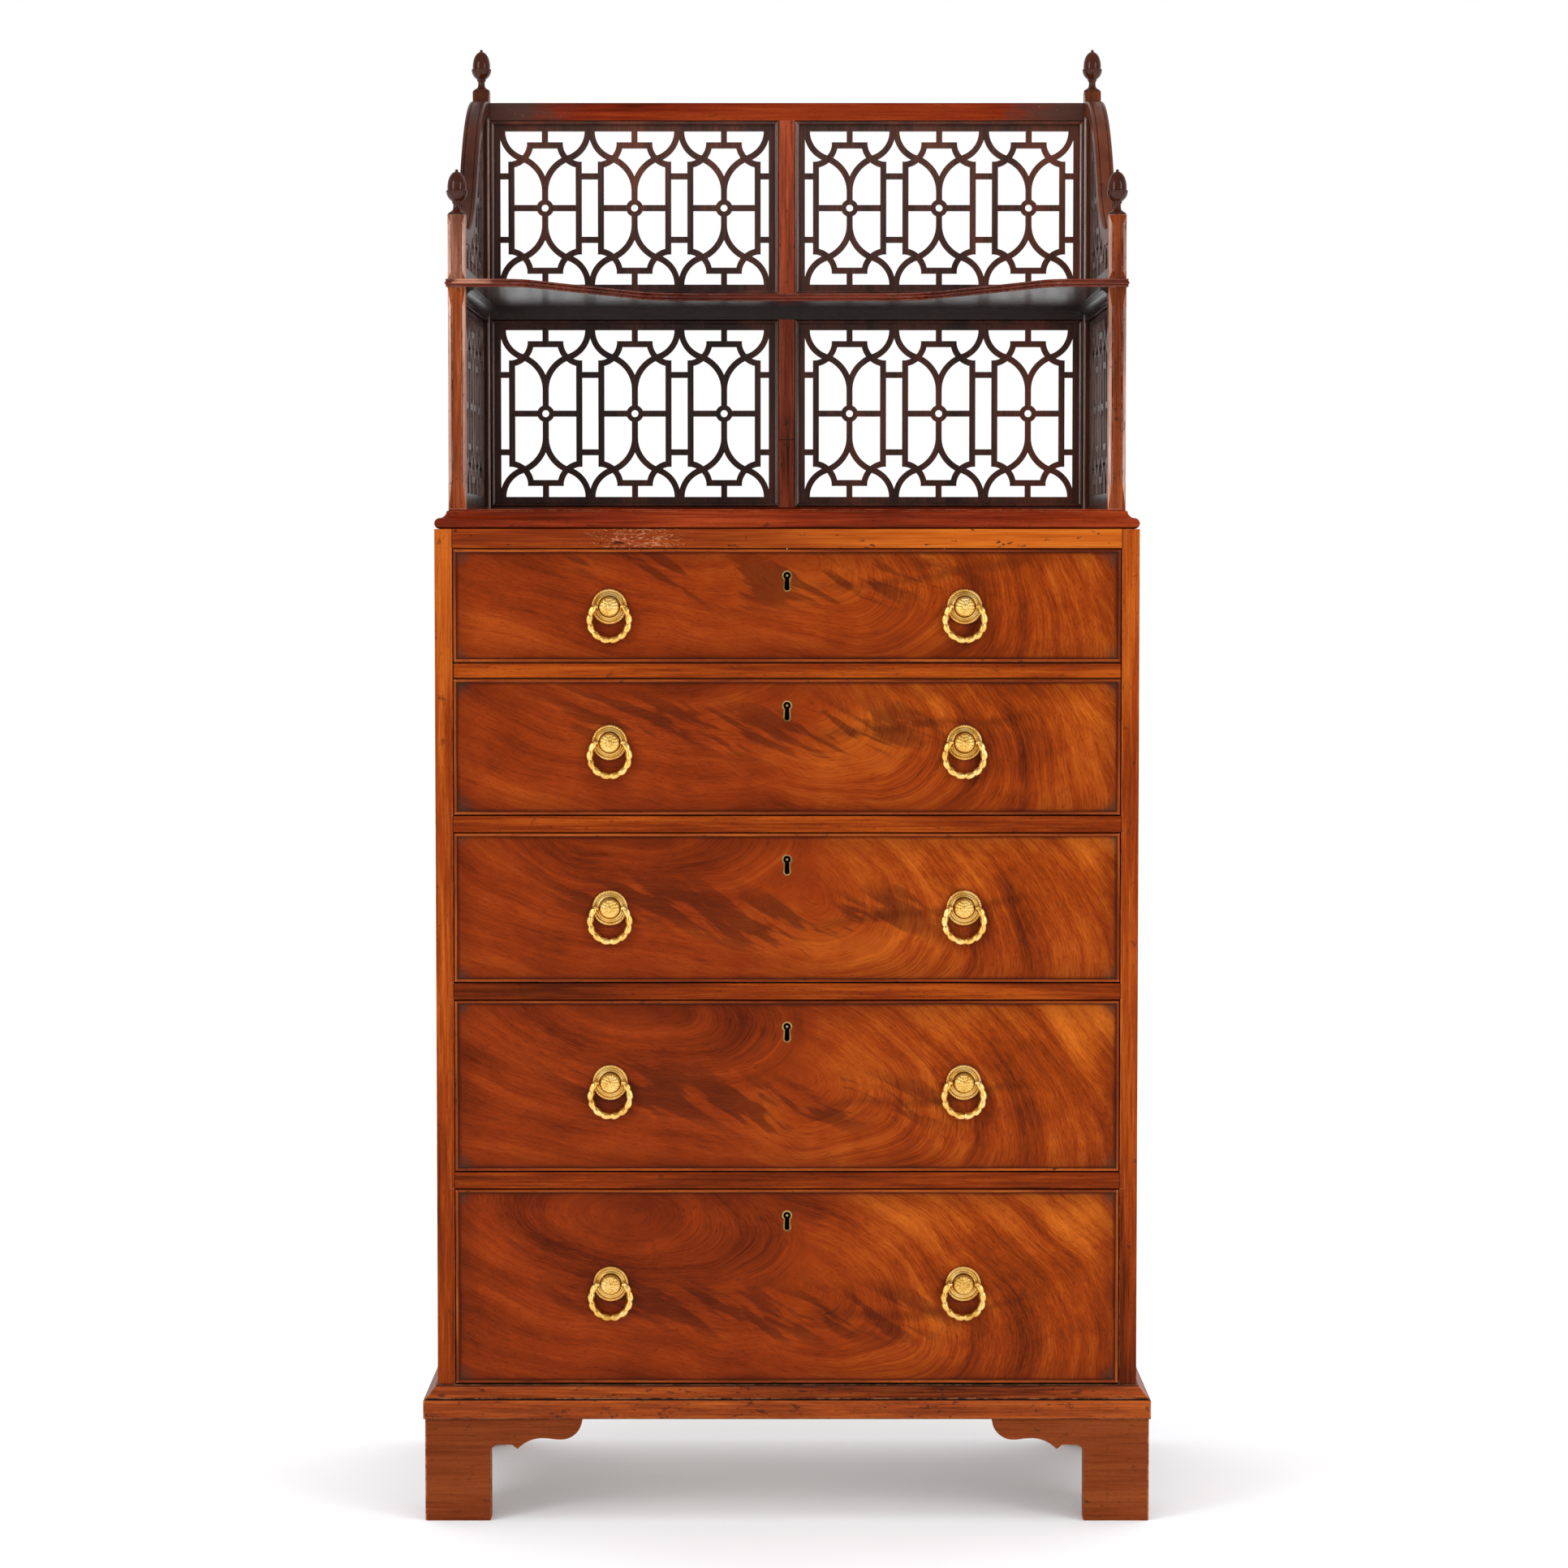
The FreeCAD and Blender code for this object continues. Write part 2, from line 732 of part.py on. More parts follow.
def save_rings(prefix, z):
    for side, word in ((-1, "left"), (1, "right")):
        save(prefix + "_ring_" + word, placed(ring_shape, side * handle_spread, 0, z))


# Long drawers

def front_span(floor, top):
    return floor + front_foot_gap, top - front_top_gap


def handle_level(floor, top, rise):
    low, high = front_span(floor, top)
    return (low + high) / 2 + rise


def dovetails(x, thickness, low, high):
    """Tails at the front end of a drawer side, as solids that also cut their sockets in the front."""
    pitch = (high - low) / dovetail_count
    wide = (pitch - dovetail_pin) / 2
    narrow = wide - dovetail_flare
    end = front_thickness - dovetail_length
    tails = []
    for n in range(dovetail_count):
        z = low + (n + 0.5) * pitch
        path = [(front_thickness, z - narrow), (front_thickness, z + narrow),
                (end, z + wide), (end, z - wide)]
        tails.append(prism(path, on_yz(x), V(thickness, 0, 0)))
    return tails


def long_drawer(name, floor, top, rise):
    low, high = front_span(floor, top)
    foot = floor + runner_gap
    bottom_low = foot + drawer_bottom_rise
    bottom_high = bottom_low + drawer_bottom_thickness
    side_top = high - drawer_side_drop
    inner = front_half - drawer_side_thickness
    groove_half = inner + drawer_groove
    key_z = high - keyhole_drop

    groove_front = front_thickness - drawer_groove
    tails = dovetails(inner, drawer_side_thickness, low, side_top)

    panel = board(-front_half, front_half, 0, front_thickness, low, high)
    cuts = [bead_rabbet(-front_half, front_half, low, high), keyhole_pocket(key_z), lock_case(high),
            board(-groove_half, groove_half, groove_front, front_thickness, bottom_low, bottom_high)]
    for cut in cuts + tails + [mirrored(tail) for tail in tails]:
        panel = panel.cut(cut)
    save(name + "_front", panel, *cockbeads(-front_half, front_half, low, high))

    side = fused([board(inner, front_half, front_thickness, drawer_rear, foot, side_top)] + tails)
    side = side.cut(board(inner, groove_half, groove_front, drawer_rear, bottom_low, bottom_high))
    back = board(-inner, inner, drawer_rear - drawer_back_thickness, drawer_rear, bottom_high,
                 side_top - drawer_back_drop)
    bottom = board(-groove_half, groove_half, groove_front, drawer_rear, bottom_low, bottom_high)
    save(name + "_box", side, mirrored(side), back, bottom)

    z = handle_level(floor, top, rise)
    save(name + "_brasses", *handle_mounts(z), lock_case(high), *escutcheon(key_z))
    save_rings(name, z)


long_drawer("upper_drawer", upper_floor, upper_top, upper_handle_rise)
long_drawer("middle_drawer", middle_floor, middle_top, middle_handle_rise)
long_drawer("lower_drawer", floor_level, lower_top, lower_handle_rise)


# The fall: one panel dressed as two drawer fronts, hung on pivots near its lower edge

fall_low, fall_high = front_span(secretaire_floor, secretaire_top)
dummy_top = fall_low + lower_dummy_height
false_top = dummy_top + 2 * false_rail_groove + false_rail_height
pivot_z = fall_low + pivot_rise
open_level = pivot_z - pivot_depth + front_thickness
heel_reach = sqrt((front_thickness - pivot_depth - fall_heel_radius)**2
                  + (pivot_rise - fall_heel_radius)**2)
floor_front = pivot_depth + heel_reach + fall_heel_radius + fall_swing_gap
side_inner = front_half - secretaire_side_thickness
arm_inner = front_half - pivot_arm_thickness
stay_outer = side_inner - stay_side_gap
keeper_inner = stay_outer - stay_thickness - stay_side_gap
keeper_low = pivot_z + stay_radius - stay_width / 2 - keeper_wall
keeper_high = pivot_z + stay_radius + stay_width / 2 + keeper_wall
upper_dummy_handle = (false_top + fall_high) / 2 + upper_dummy_handle_rise
lower_dummy_handle = (fall_low + dummy_top) / 2 + lower_dummy_handle_rise
leather_low = fall_low + leather_border + pivot_rise
leather_high = fall_high - lock_height - leather_border / 2
leather_half = keeper_inner - leather_border


def keeper_pocket(side):
    x0, x1 = sorted((side * (keeper_inner - keeper_clear), side * (side_inner + keeper_clear)))
    return board(x0, x1, keeper_front - pivot_clearance, front_thickness,
                 keeper_low - 3 * keeper_clear, keeper_high + 3 * keeper_clear)


def pivot_notch(side):
    """Room at the end of the fall for its brass arm, through the whole swing."""
    x0, x1 = sorted((side * (arm_inner - pivot_clearance), side * front_half))
    clear = pivot_arm_half + pivot_clearance
    return board(x0, x1, pivot_depth - clear, front_thickness, fall_low, pivot_z + clear)


def pivot_hole(side):
    start = V(side * (arm_inner - pivot_clearance), pivot_depth, pivot_z)
    return Part.makeCylinder(pivot_pin_radius + pin_clearance, pivot_pin_length, start, V(-side, 0, 0))


def fall_panel():
    heel = front_thickness - fall_heel_radius
    bend = on_circle((heel, fall_low + fall_heel_radius), fall_heel_radius, -45)
    panel = prism([(0, fall_low), (heel, fall_low), (bend, (front_thickness, fall_low + fall_heel_radius)),
                   (front_thickness, fall_high), (0, fall_high)], on_yz(-front_half), V(2 * front_half, 0, 0))
    cuts = [bead_rabbet(-front_half, front_half, fall_low, dummy_top),
            bead_rabbet(-front_half, front_half, false_top, fall_high),
            keyhole_pocket(fall_high - keyhole_drop), keyhole_pocket(dummy_top - keyhole_drop),
            lock_case(fall_high),
            board(-leather_half, leather_half, front_thickness - leather_thickness, front_thickness,
                  leather_low, leather_high)]
    for z in (dummy_top, false_top - false_rail_groove):
        cuts.append(board(-front_half, front_half, 0, false_rail_groove, z, z + false_rail_groove))
    for side in (-1, 1):
        cuts += [keeper_pocket(side), pivot_notch(side), pivot_hole(side)]
    for cut in cuts:
        panel = panel.cut(cut)
    return panel


def fall_stay(side):
    """Brass quadrant about the pivot line, rooted in the fall's pocket."""
    centre = (pivot_depth, pivot_z)
    x = min(side * stay_outer, side * (stay_outer - stay_thickness))
    band = prism(arc_band(centre, stay_radius, stay_tail_angle, stay_root_angle, stay_width), on_yz(x),
                 V(stay_thickness, 0, 0))
    root = keeper_front - pivot_clearance
    reach = stay_radius * 2
    return band.common(board(x, x + stay_thickness, root, root + reach, pivot_z - reach, pivot_z + reach))


lower_beads = [bead.cut(pivot_notch(-1)).cut(pivot_notch(1))
               for bead in cockbeads(-front_half, front_half, fall_low, dummy_top)]
upper_beads = cockbeads(-front_half, front_half, false_top, fall_high)
save("fall_panel", fall_panel(), *lower_beads, *upper_beads)
save("fall_leather", board(-leather_half, leather_half, front_thickness - leather_thickness, front_thickness,
                           leather_low, leather_high))
save("fall_stays", fall_stay(-1), fall_stay(1))
save("fall_brasses", lock_case(fall_high), *handle_mounts(upper_dummy_handle),
     *handle_mounts(lower_dummy_handle), *escutcheon(fall_high - keyhole_drop),
     *escutcheon(dummy_top - keyhole_drop))
save_rings("fall_upper", upper_dummy_handle)
save_rings("fall_lower", lower_dummy_handle)


# Secretaire drawer: shaped sides, back, floor, writing bed and the fall's fittings

secretaire_foot = secretaire_floor + runner_gap
secretaire_side_top = secretaire_top - secretaire_side_top_gap
secretaire_back_front = drawer_rear - drawer_back_thickness
bed_low = secretaire_foot + secretaire_floor_thickness


def secretaire_side():
    """Right side, swept down towards the front, with a pocket for the pivot arm's plate."""
    front = front_thickness + fall_seat_gap
    low_top = pivot_z + secretaire_side_front_height
    heel_top = open_level + fall_heel_radius
    sweep = ogee((secretaire_side_low_end, low_top), (secretaire_side_full_start, secretaire_side_top),
                 (secretaire_side_full_start - secretaire_side_low_end) / 2)
    path = [(floor_front, secretaire_foot), (drawer_rear, secretaire_foot),
            (drawer_rear, secretaire_side_top)]
    path += backwards(sweep) + [(front, low_top), (front, heel_top), (floor_front, heel_top)]
    side = prism(path, on_yz(side_inner), V(secretaire_side_thickness, 0, 0))
    return side.cut(board(arm_inner, front_half, floor_front, floor_front + pivot_arm_length,
                          pivot_z - pivot_plate_half, pivot_z + pivot_plate_half))


def stay_slot(side):
    """Gap beside the floor where the tail of a stay goes down."""
    middle = pivot_depth + stay_radius
    x0, x1 = sorted((side * keeper_inner, side * side_inner))
    return board(x0, x1, middle - stay_width, middle + stay_width, secretaire_foot, open_level)


def floor_board(low, high):
    shape = board(-side_inner, side_inner, floor_front, secretaire_back_front, low, high)
    for side in (-1, 1):
        shape = shape.cut(stay_slot(side))
    return shape


bed_leather_half = keeper_inner - leather_border
case_front = secretaire_back_front - case_depth
bed_leather = board(-bed_leather_half, bed_leather_half, floor_front + leather_border / 2,
                    case_front - leather_border / 2, open_level - leather_thickness, open_level)


def pivot_arm(side):
    """Plate let into the drawer side, reaching forward to the pin that the fall turns on."""
    half = pivot_arm_half
    nose = [(pivot_depth, pivot_z - half), ((pivot_depth - half, pivot_z), (pivot_depth, pivot_z + half))]
    path = [(floor_front, pivot_z - half)] + nose + [(floor_front, pivot_z + half)]
    x = min(side * front_half, side * arm_inner)
    arm = prism(path, on_yz(x), V(pivot_arm_thickness, 0, 0))
    plate = board(x, x + pivot_arm_thickness, floor_front, floor_front + pivot_arm_length,
                  pivot_z - pivot_plate_half, pivot_z + pivot_plate_half)
    pin = Part.makeCylinder(pivot_pin_radius, pivot_pin_length, V(side * arm_inner, pivot_depth, pivot_z),
                            V(-side, 0, 0))
    return fused([arm, plate, pin])


def stay_keeper(side):
    """Brass guide on the drawer side that the stay runs through."""
    x0, x1 = sorted((side * keeper_inner, side * side_inner))
    block = board(x0, x1, keeper_front, keeper_rear, keeper_low, keeper_high)
    s0, s1 = sorted((side * (keeper_inner + keeper_cheek), side * (side_inner - keeper_cheek)))
    run = arc_band((pivot_depth, pivot_z), stay_radius, keeper_slot_angle, stay_root_angle,
                   stay_width + 2 * keeper_clear)
    slot = prism(run, on_yz(s0), V(s1 - s0, 0, 0))
    return block.cut(slot)


right_secretaire_side = secretaire_side()
save("secretaire_case", right_secretaire_side, mirrored(right_secretaire_side),
     board(-side_inner, side_inner, secretaire_back_front, drawer_rear, secretaire_foot, secretaire_side_top))
save("secretaire_floor", floor_board(secretaire_foot, bed_low))
save("writing_bed", floor_board(bed_low, open_level).cut(bed_leather))
save("writing_leather", bed_leather)
save("fall_fittings", pivot_arm(-1), pivot_arm(1), stay_keeper(-1), stay_keeper(1))


# Pigeonholes over a row of letter drawers

case_half = side_inner
case_top = secretaire_side_top - case_top_gap
bay_half = case_half - case_wall
letter_top = open_level + letter_drawer_height
upper_row_floor = letter_top + letter_shelf
letter_bay = (2 * bay_half - (letter_drawer_count - 1) * letter_divider) / letter_drawer_count
pigeonhole_bay = (2 * bay_half - (pigeonhole_count - 1) * pigeonhole_divider) / pigeonhole_count


def pigeonhole_case():
    rear = secretaire_back_front
    inner_top = case_top - case_wall
    pieces = [board(-case_half, -bay_half, case_front, rear, open_level, case_top),
              board(bay_half, case_half, case_front, rear, open_level, case_top),
              board(-bay_half, bay_half, case_front, rear, inner_top, case_top),
              board(-bay_half, bay_half, case_front, rear, letter_top, upper_row_floor)]
    for n in range(1, letter_drawer_count):
        x = -bay_half + n * (letter_bay + letter_divider)
        pieces.append(board(x - letter_divider, x, case_front, rear, open_level, letter_top))
    for n in range(1, pigeonhole_count):
        x = -bay_half + n * (pigeonhole_bay + pigeonhole_divider)
        pieces.append(board(x - pigeonhole_divider, x, case_front, rear, upper_row_floor, inner_top))
    for n in range(pigeonhole_count):
        x = -bay_half + n * (pigeonhole_bay + pigeonhole_divider)
        end = x + pigeonhole_bay
        spring = inner_top - valance_height
        crown = inner_top - valance_crown
        shoulder = (spring + crown) / 2 + valance_crown / 4
        arch = [(x, spring), (((3 * x + end) / 4, shoulder), ((x + end) / 2, crown)),
                (((x + 3 * end) / 4, shoulder), (end, spring)), (end, inner_top), (x, inner_top)]
        pieces.append(prism(arch, on_xz(case_front + valance_thickness), V(0, valance_thickness, 0)))
    return pieces


def letter_drawer(n):
    """Small drawer box with a turned brass knob."""
    x0 = -bay_half + n * (letter_bay + letter_divider) + letter_gap
    x1 = x0 + letter_bay - 2 * letter_gap
    low = open_level + runner_gap
    high = letter_top - letter_gap
    front = case_front + letter_front_thickness
    rear = secretaire_back_front - letter_rear_gap
    wall = letter_side_thickness
    floor = low + letter_bottom_thickness
    centre = V((x0 + x1) / 2, case_front, (low + high) / 2)
    knob = fused([Part.makeCylinder(knob_neck_radius, knob_neck_length, centre, V(0, -1, 0)),
                  Part.makeSphere(knob_radius, centre + V(0, -knob_neck_length - knob_radius * 0.8, 0))])
    return [board(x0, x1, case_front, front, low, high), board(x0, x0 + wall, front, rear, low, high - wall),
            board(x1 - wall, x1, front, rear, low, high - wall),
            board(x0 + wall, x1 - wall, rear - wall, rear, floor, high - wall),
            board(x0 + wall, x1 - wall, front, rear, low, floor), knob]


save("pigeonholes", *pigeonhole_case())
for place_word, place_number in (("far_left", 0), ("left", 1), ("right", 2), ("far_right", 3)):
    save("letter_drawer_" + place_word, *letter_drawer(place_number))


# Gallery base board and posts

def gallery_base():
    nose = gallery_nose / 2
    low = carcase_top_level
    top = gallery_floor
    cyma_low = low + gallery_nose
    inset = -post_inset
    mid = ((inset - nose / 2) / 2, cyma_low + gallery_fillet / 2)
    path = [(-side_thickness, low), (-nose, low), ((0, low + nose), (-nose, low + gallery_nose)),
            (-nose, cyma_low), (mid, (inset + gallery_fillet, top - gallery_fillet)),
            (inset, top - gallery_fillet), (inset, top), (-side_thickness, top)]
    return edge_moulded(path, half_width, 0, carcase_depth)


save("gallery_base", gallery_base())


def beaded_post(z0, z1, bead_low, bead_high):
    """Square front post on the right, with a quirked bead along each arris between two stops."""
    half = post_size / 2
    radius = post_bead_radius
    quirk = 2 * radius
    length = bead_high - bead_low
    post = board(0, post_size, 0, post_size, z0, z1)
    corner = board(0, radius, 0, radius, bead_low, bead_high)
    cuts = [corner.cut(Part.makeCylinder(radius, length, V(radius, radius, bead_low))),
            board(quirk, quirk + post_quirk, 0, post_quirk_depth, bead_low, bead_high),
            board(0, post_quirk_depth, quirk, quirk + post_quirk, bead_low, bead_high)]
    for turn in range(4):
        for cut in cuts:
            copy = cut.copy()
            copy.rotate(V(half, half, 0), UP, 90 * turn)
            post = post.cut(copy)
    post.translate(V(post_inner_x, post_inset, 0))
    return post


right_lower_post = beaded_post(gallery_floor, shelf_under, gallery_floor + lower_bead_foot,
                               shelf_under - lower_bead_head)
right_upper_post = beaded_post(shelf_top, front_post_top, shelf_top + upper_bead_foot,
                               front_post_top - upper_bead_head)
save("front_posts", right_lower_post, mirrored(right_lower_post), right_upper_post,
     mirrored(right_upper_post))


def rear_post():
    """Square rear post on the right, with a quirked bead on its inner front arris beside the end frets."""
    radius = rear_bead_radius
    quirk = post_inner_x + 2 * radius
    quirk_end = post_centre_x - side_rail_thickness / 2
    post = board(post_inner_x, post_outer_x, rear_post_front, rear_post_back, gallery_floor,
                 back_top + rear_plinth_height)
    for low, high in ((gallery_floor, shelf_under), (shelf_top, back_top - back_top_rail)):
        axis_x = post_inner_x + radius
        axis_y = rear_post_front + radius
        corner = board(post_inner_x, axis_x, rear_post_front, axis_y, low, high)
        post = post.cut(corner.cut(Part.makeCylinder(radius, high - low, V(axis_x, axis_y, low))))
        post = post.cut(board(quirk, quirk_end, rear_post_front, axis_y, low, high))
    return post


save("rear_posts", rear_post(), mirrored(rear_post()))


def finial(x, y, z):
    """Turned acorn in its cup, on a waisted stem and a flared foot."""
    foot = finial_disc_radius
    foot_top = finial_disc_height
    neck = finial_neck_radius
    rim = finial_cup_radius - finial_lip_set
    nut_low = finial_cup_rise + finial_lip
    shoulder = (finial_shoulder_radius, finial_shoulder_rise)
    nut_swell = ((finial_nut_radius + shoulder[0]) / 2 + finial_lip_set / 2, (nut_low + shoulder[1]) / 2)
    nut_round = ((shoulder[0] + finial_knob_neck) / 2 + finial_knob_neck,
                 (shoulder[1] + finial_nut_rise) / 2 + finial_knob_neck / 2)
    cup_round = ((neck + rim) / 2 + finial_flare_rise,
                 (finial_collar_rise + finial_cup_rise) / 2 - finial_lip)
    path = [(0, 0), (foot - finial_lip_set, 0),
            ((foot, foot_top / 2), (foot - finial_lip_set, foot_top)),
            ((neck + finial_flare_rise, foot_top + finial_flare_rise), (neck, finial_neck_rise)),
            (neck, finial_collar_rise - finial_lip),
            ((finial_collar_radius, finial_collar_rise - finial_lip / 2), (neck, finial_collar_rise)),
            (cup_round, (rim, finial_cup_rise)),
            ((finial_cup_radius, finial_cup_rise + finial_lip / 2), (rim, nut_low)),
            (finial_nut_radius, nut_low), (nut_swell, shoulder),
            (nut_round, (finial_knob_neck, finial_nut_rise)),
            ((finial_knob_radius, (finial_nut_rise + finial_height) / 2), (0, finial_height))]
    return turned(path, V(x, y, z), UP)


finials = []
for finial_side in (-1, 1):
    finial_x = finial_side * post_centre_x
    finials.append(finial(finial_x, post_inset + post_size / 2, front_post_top))
    finials.append(finial(finial_x, rear_post_back - post_size / 2, back_top + rear_plinth_height))
save("finials", *finials)


# Shelf with a deep serpentine front and a reeded edge

def shelf_plan(inset):
    """Outline of the shelf seen from above, brought in by inset along its front and ends."""
    end = post_outer_x + shelf_overhang - inset
    front = post_inset - shelf_overhang + inset
    centre = front + shelf_centre_setback
    slope_low = (end - shelf_arm_width, front)
    slope_high = (slope_low[0] - shelf_slope_run, centre)
    turn = atan2(centre - front, shelf_slope_run)
    lean = degrees(turn)
    cut_low = shelf_corner_radius * sin(turn / 2) / cos(turn / 2)
    cut_high = shelf_hollow_radius * sin(turn / 2) / cos(turn / 2)
    corner = (slope_low[0] + cut_low, front + shelf_corner_radius)
    hollow = (slope_high[0] - cut_high, centre - shelf_hollow_radius)
    low_arc = (on_circle(corner, shelf_corner_radius, -90 - lean / 2),
               on_circle(corner, shelf_corner_radius, -90 - lean))
    high_start = on_circle(hollow, shelf_hollow_radius, 90 - lean)
    high_arc = (on_circle(hollow, shelf_hollow_radius, 90 - lean / 2), (hollow[0], centre))
    back = carcase_depth - back_frame_set
    right = [(end, back), (end, front), (corner[0], front), low_arc, high_start, high_arc]
    return right + backwards(flipped(right, -1, 1))


def reed_layer(inset, low, high):
    """One level of the shelf, its front and end edges rounded to a reed."""
    layer = prism(shelf_plan(inset), on_xy(low), UP * (high - low))
    back = carcase_depth - back_frame_set
    rounded = [edge for edge in layer.Edges
               if edge.BoundBox.ZLength < mitre_gap and edge.BoundBox.YMin < back - mitre_gap]
    return layer.makeFillet((high - low - shelf_reed_flat) / 2, rounded)


def shelf():
    """Three reeds one over the other, notched round the rear posts."""
    low_reed = shelf_under + shelf_reed
    top_reed = shelf_top - shelf_reed
    shape = fused([reed_layer(shelf_reed_inset, shelf_under, low_reed), reed_layer(0, low_reed, top_reed),
                   reed_layer(shelf_reed_inset, top_reed, shelf_top)])
    for side in (-1, 1):
        x0, x1 = sorted((side * post_inner_x, side * half_width))
        shape = shape.cut(board(x0, x1, rear_post_front, carcase_depth, shelf_under, shelf_top))
    return shape


save("shelf", shelf())

cove_x = post_centre_x - side_rail_thickness / 2
cove_front = front_post_back
cove_back = rear_post_front
cove_low = shelf_under - cove_height
hollow_top = (cove_x - cove_width + cove_step, shelf_under - cove_fillet)
hollow_foot = (cove_x - cove_fillet, cove_low + cove_fillet)
hollow_run = hollow_foot[0] - hollow_top[0]
hollow_drop = hollow_top[1] - hollow_foot[1]
hollow_chord = sqrt(hollow_run**2 + hollow_drop**2)
hollow_middle = ((hollow_top[0] + hollow_foot[0]) / 2 + cove_sag * hollow_drop / hollow_chord,
                 (hollow_top[1] + hollow_foot[1]) / 2 + cove_sag * hollow_run / hollow_chord)
cove_path = [(cove_x, cove_low), (cove_x, shelf_under), (cove_x - cove_width, shelf_under),
             (cove_x - cove_width, shelf_under - cove_fillet), hollow_top, (hollow_middle, hollow_foot),
             (cove_x - cove_fillet, cove_low)]
right_cove = prism(cove_path, on_xz(cove_front), V(0, cove_back - cove_front, 0))
save("shelf_coves", right_cove, mirrored(right_cove))


# Pierced fretwork: one unit, its panels, and the frames that hold them

def fret_unit(half_height, pitch):
    """One repeat of the fret about its ring, from frame to frame, as a solid on the XZ plane."""
    w = fret_member
    h = half_height
    bowl_outer = fret_bowl_radius + w / 2
    bowl = (pitch / 2 - sqrt(bowl_outer**2 - fret_apex_drop**2), h)
    crossing = (bowl[0] + sqrt(fret_bowl_radius**2 - fret_crossing_drop**2), h - fret_crossing_drop)
    neck_z = h - fret_neck_drop
    rise = crossing[1] - neck_z
    neck_radius = (crossing[0]**2 + rise**2) / (2 * crossing[0])
    neck = (neck_radius, neck_z)
    cap = (fret_cap_half, h - fret_cap_drop)
    bar_top = (fret_bar_offset, h - fret_bar_drop)
    leg, leg_radius = circle_through(cap, crossing, bar_top)
    leg_start = angle_of(leg, cap) % 360
    leg_end = angle_of(leg, bar_top) % 360
    link_z = h - fret_link_drop

    def rectangle(x0, x1, z0, z1):
        return [(x0, z0), (x1, z0), (x1, z1), (x0, z1)]

    quarter = [arc_band(bowl, fret_bowl_radius, angle_of(bowl, crossing), 0, w),
               arc_band(neck, neck_radius, 180, angle_of(neck, crossing), w),
               arc_band(leg, leg_radius, leg_start, leg_end, w),
               rectangle(fret_bar_offset, pitch / 2, link_z - w / 2, link_z + w / 2)]
    paths = [flipped(path, su, sv) for path in quarter for su in (-1, 1) for sv in (-1, 1)]
    for sv in (-1, 1):
        top_bar = rectangle(-cap[0] - w / 2, cap[0] + w / 2, cap[1] - w / 2, cap[1] + w / 2)
        paths.append(flipped(top_bar, 1, sv))
        paths.append(flipped(rectangle(-w / 2, w / 2, cap[1], h), 1, sv))
        paths.append(flipped(rectangle(-w / 2, w / 2, 0, neck_z), 1, sv))
        x = sv * fret_bar_offset
        paths.append(rectangle(x - w / 2, x + w / 2, -bar_top[1] - w / 2, bar_top[1] + w / 2))
    paths.append(rectangle(-fret_bar_offset, fret_bar_offset, -w / 2, w / 2))
    through = V(0, fret_thickness, 0)
    members = [prism(path, on_xz(0), through) for path in paths]
    members.append(Part.makeCylinder(fret_ring_radius, fret_thickness, V(0, 0, 0), V(0, 1, 0)))
    return fused(members).cut(Part.makeCylinder(fret_ring_hole, fret_thickness, V(0, 0, 0), V(0, 1, 0)))


def fret_field(width, height):
    """A row of units that fills an opening, centred on the origin."""
    pitch = width / fret_units
    unit = fret_unit(height / 2, pitch)
    row = []
    for n in range(fret_units):
        copy = unit.copy()
        copy.translate(V((n - (fret_units - 1) / 2) * pitch, 0, 0))
        row.append(copy)
    return row


def fret_panel(width, height):
    """A rectangular fret inside its plain border."""
    b = fret_border
    border = board(-width / 2 - b, width / 2 + b, 0, fret_thickness, -height / 2 - b, height / 2 + b)
    border = border.cut(board(-width / 2, width / 2, 0, fret_thickness, -height / 2, height / 2))
    return fused([border] + fret_field(width, height))


panel_inner = muntin_width / 2
panel_outer = post_inner_x
panel_width = panel_outer - panel_inner
lower_panel_low = gallery_floor + tier_bottom_rail
lower_panel_high = shelf_under - lower_tier_top_rail
upper_panel_low = shelf_top + tier_bottom_rail
upper_panel_high = back_top - back_top_rail
back_frame_back = carcase_depth - back_frame_set
back_frame_front = back_frame_back - back_frame_thickness
back_fret_front = (back_frame_front + back_frame_back - fret_thickness) / 2
panel_x = (panel_inner + panel_outer) / 2

for tier_word, panel_low, panel_high in (("lower", lower_panel_low, lower_panel_high),
                                         ("upper", upper_panel_low, upper_panel_high)):
    back_fret = fret_panel(panel_width - 2 * fret_border, panel_high - panel_low - 2 * fret_border)
    fret_beads = bead_frame(panel_inner, panel_outer, panel_low, panel_high, fret_bead, 0,
                            back_fret_front - back_frame_front)
    fret_beads = [placed(bead, 0, back_frame_front, 0) for bead in fret_beads]
    for word, sign in (("left", -1), ("right", 1)):
        save("back_fret_" + tier_word + "_" + word,
             placed(back_fret, sign * panel_x, back_fret_front, (panel_low + panel_high) / 2),
             *[bead if sign > 0 else mirrored(bead) for bead in fret_beads])


def back_rail(x0, x1, z0, z1):
    return board(x0, x1, back_frame_front, back_frame_back, z0, z1)


save("back_rails", back_rail(-panel_outer, panel_outer, gallery_floor, lower_panel_low),
     back_rail(-panel_outer, panel_outer, lower_panel_high, shelf_under),
     back_rail(-panel_inner, panel_inner, lower_panel_low, lower_panel_high),
     back_rail(-panel_outer, panel_outer, shelf_top, upper_panel_low),
     back_rail(-panel_outer, panel_outer, upper_panel_high, back_top),
     back_rail(-panel_inner, panel_inner, upper_panel_low, upper_panel_high))

# Gallery ends: straight rails, swept top rails and their frets

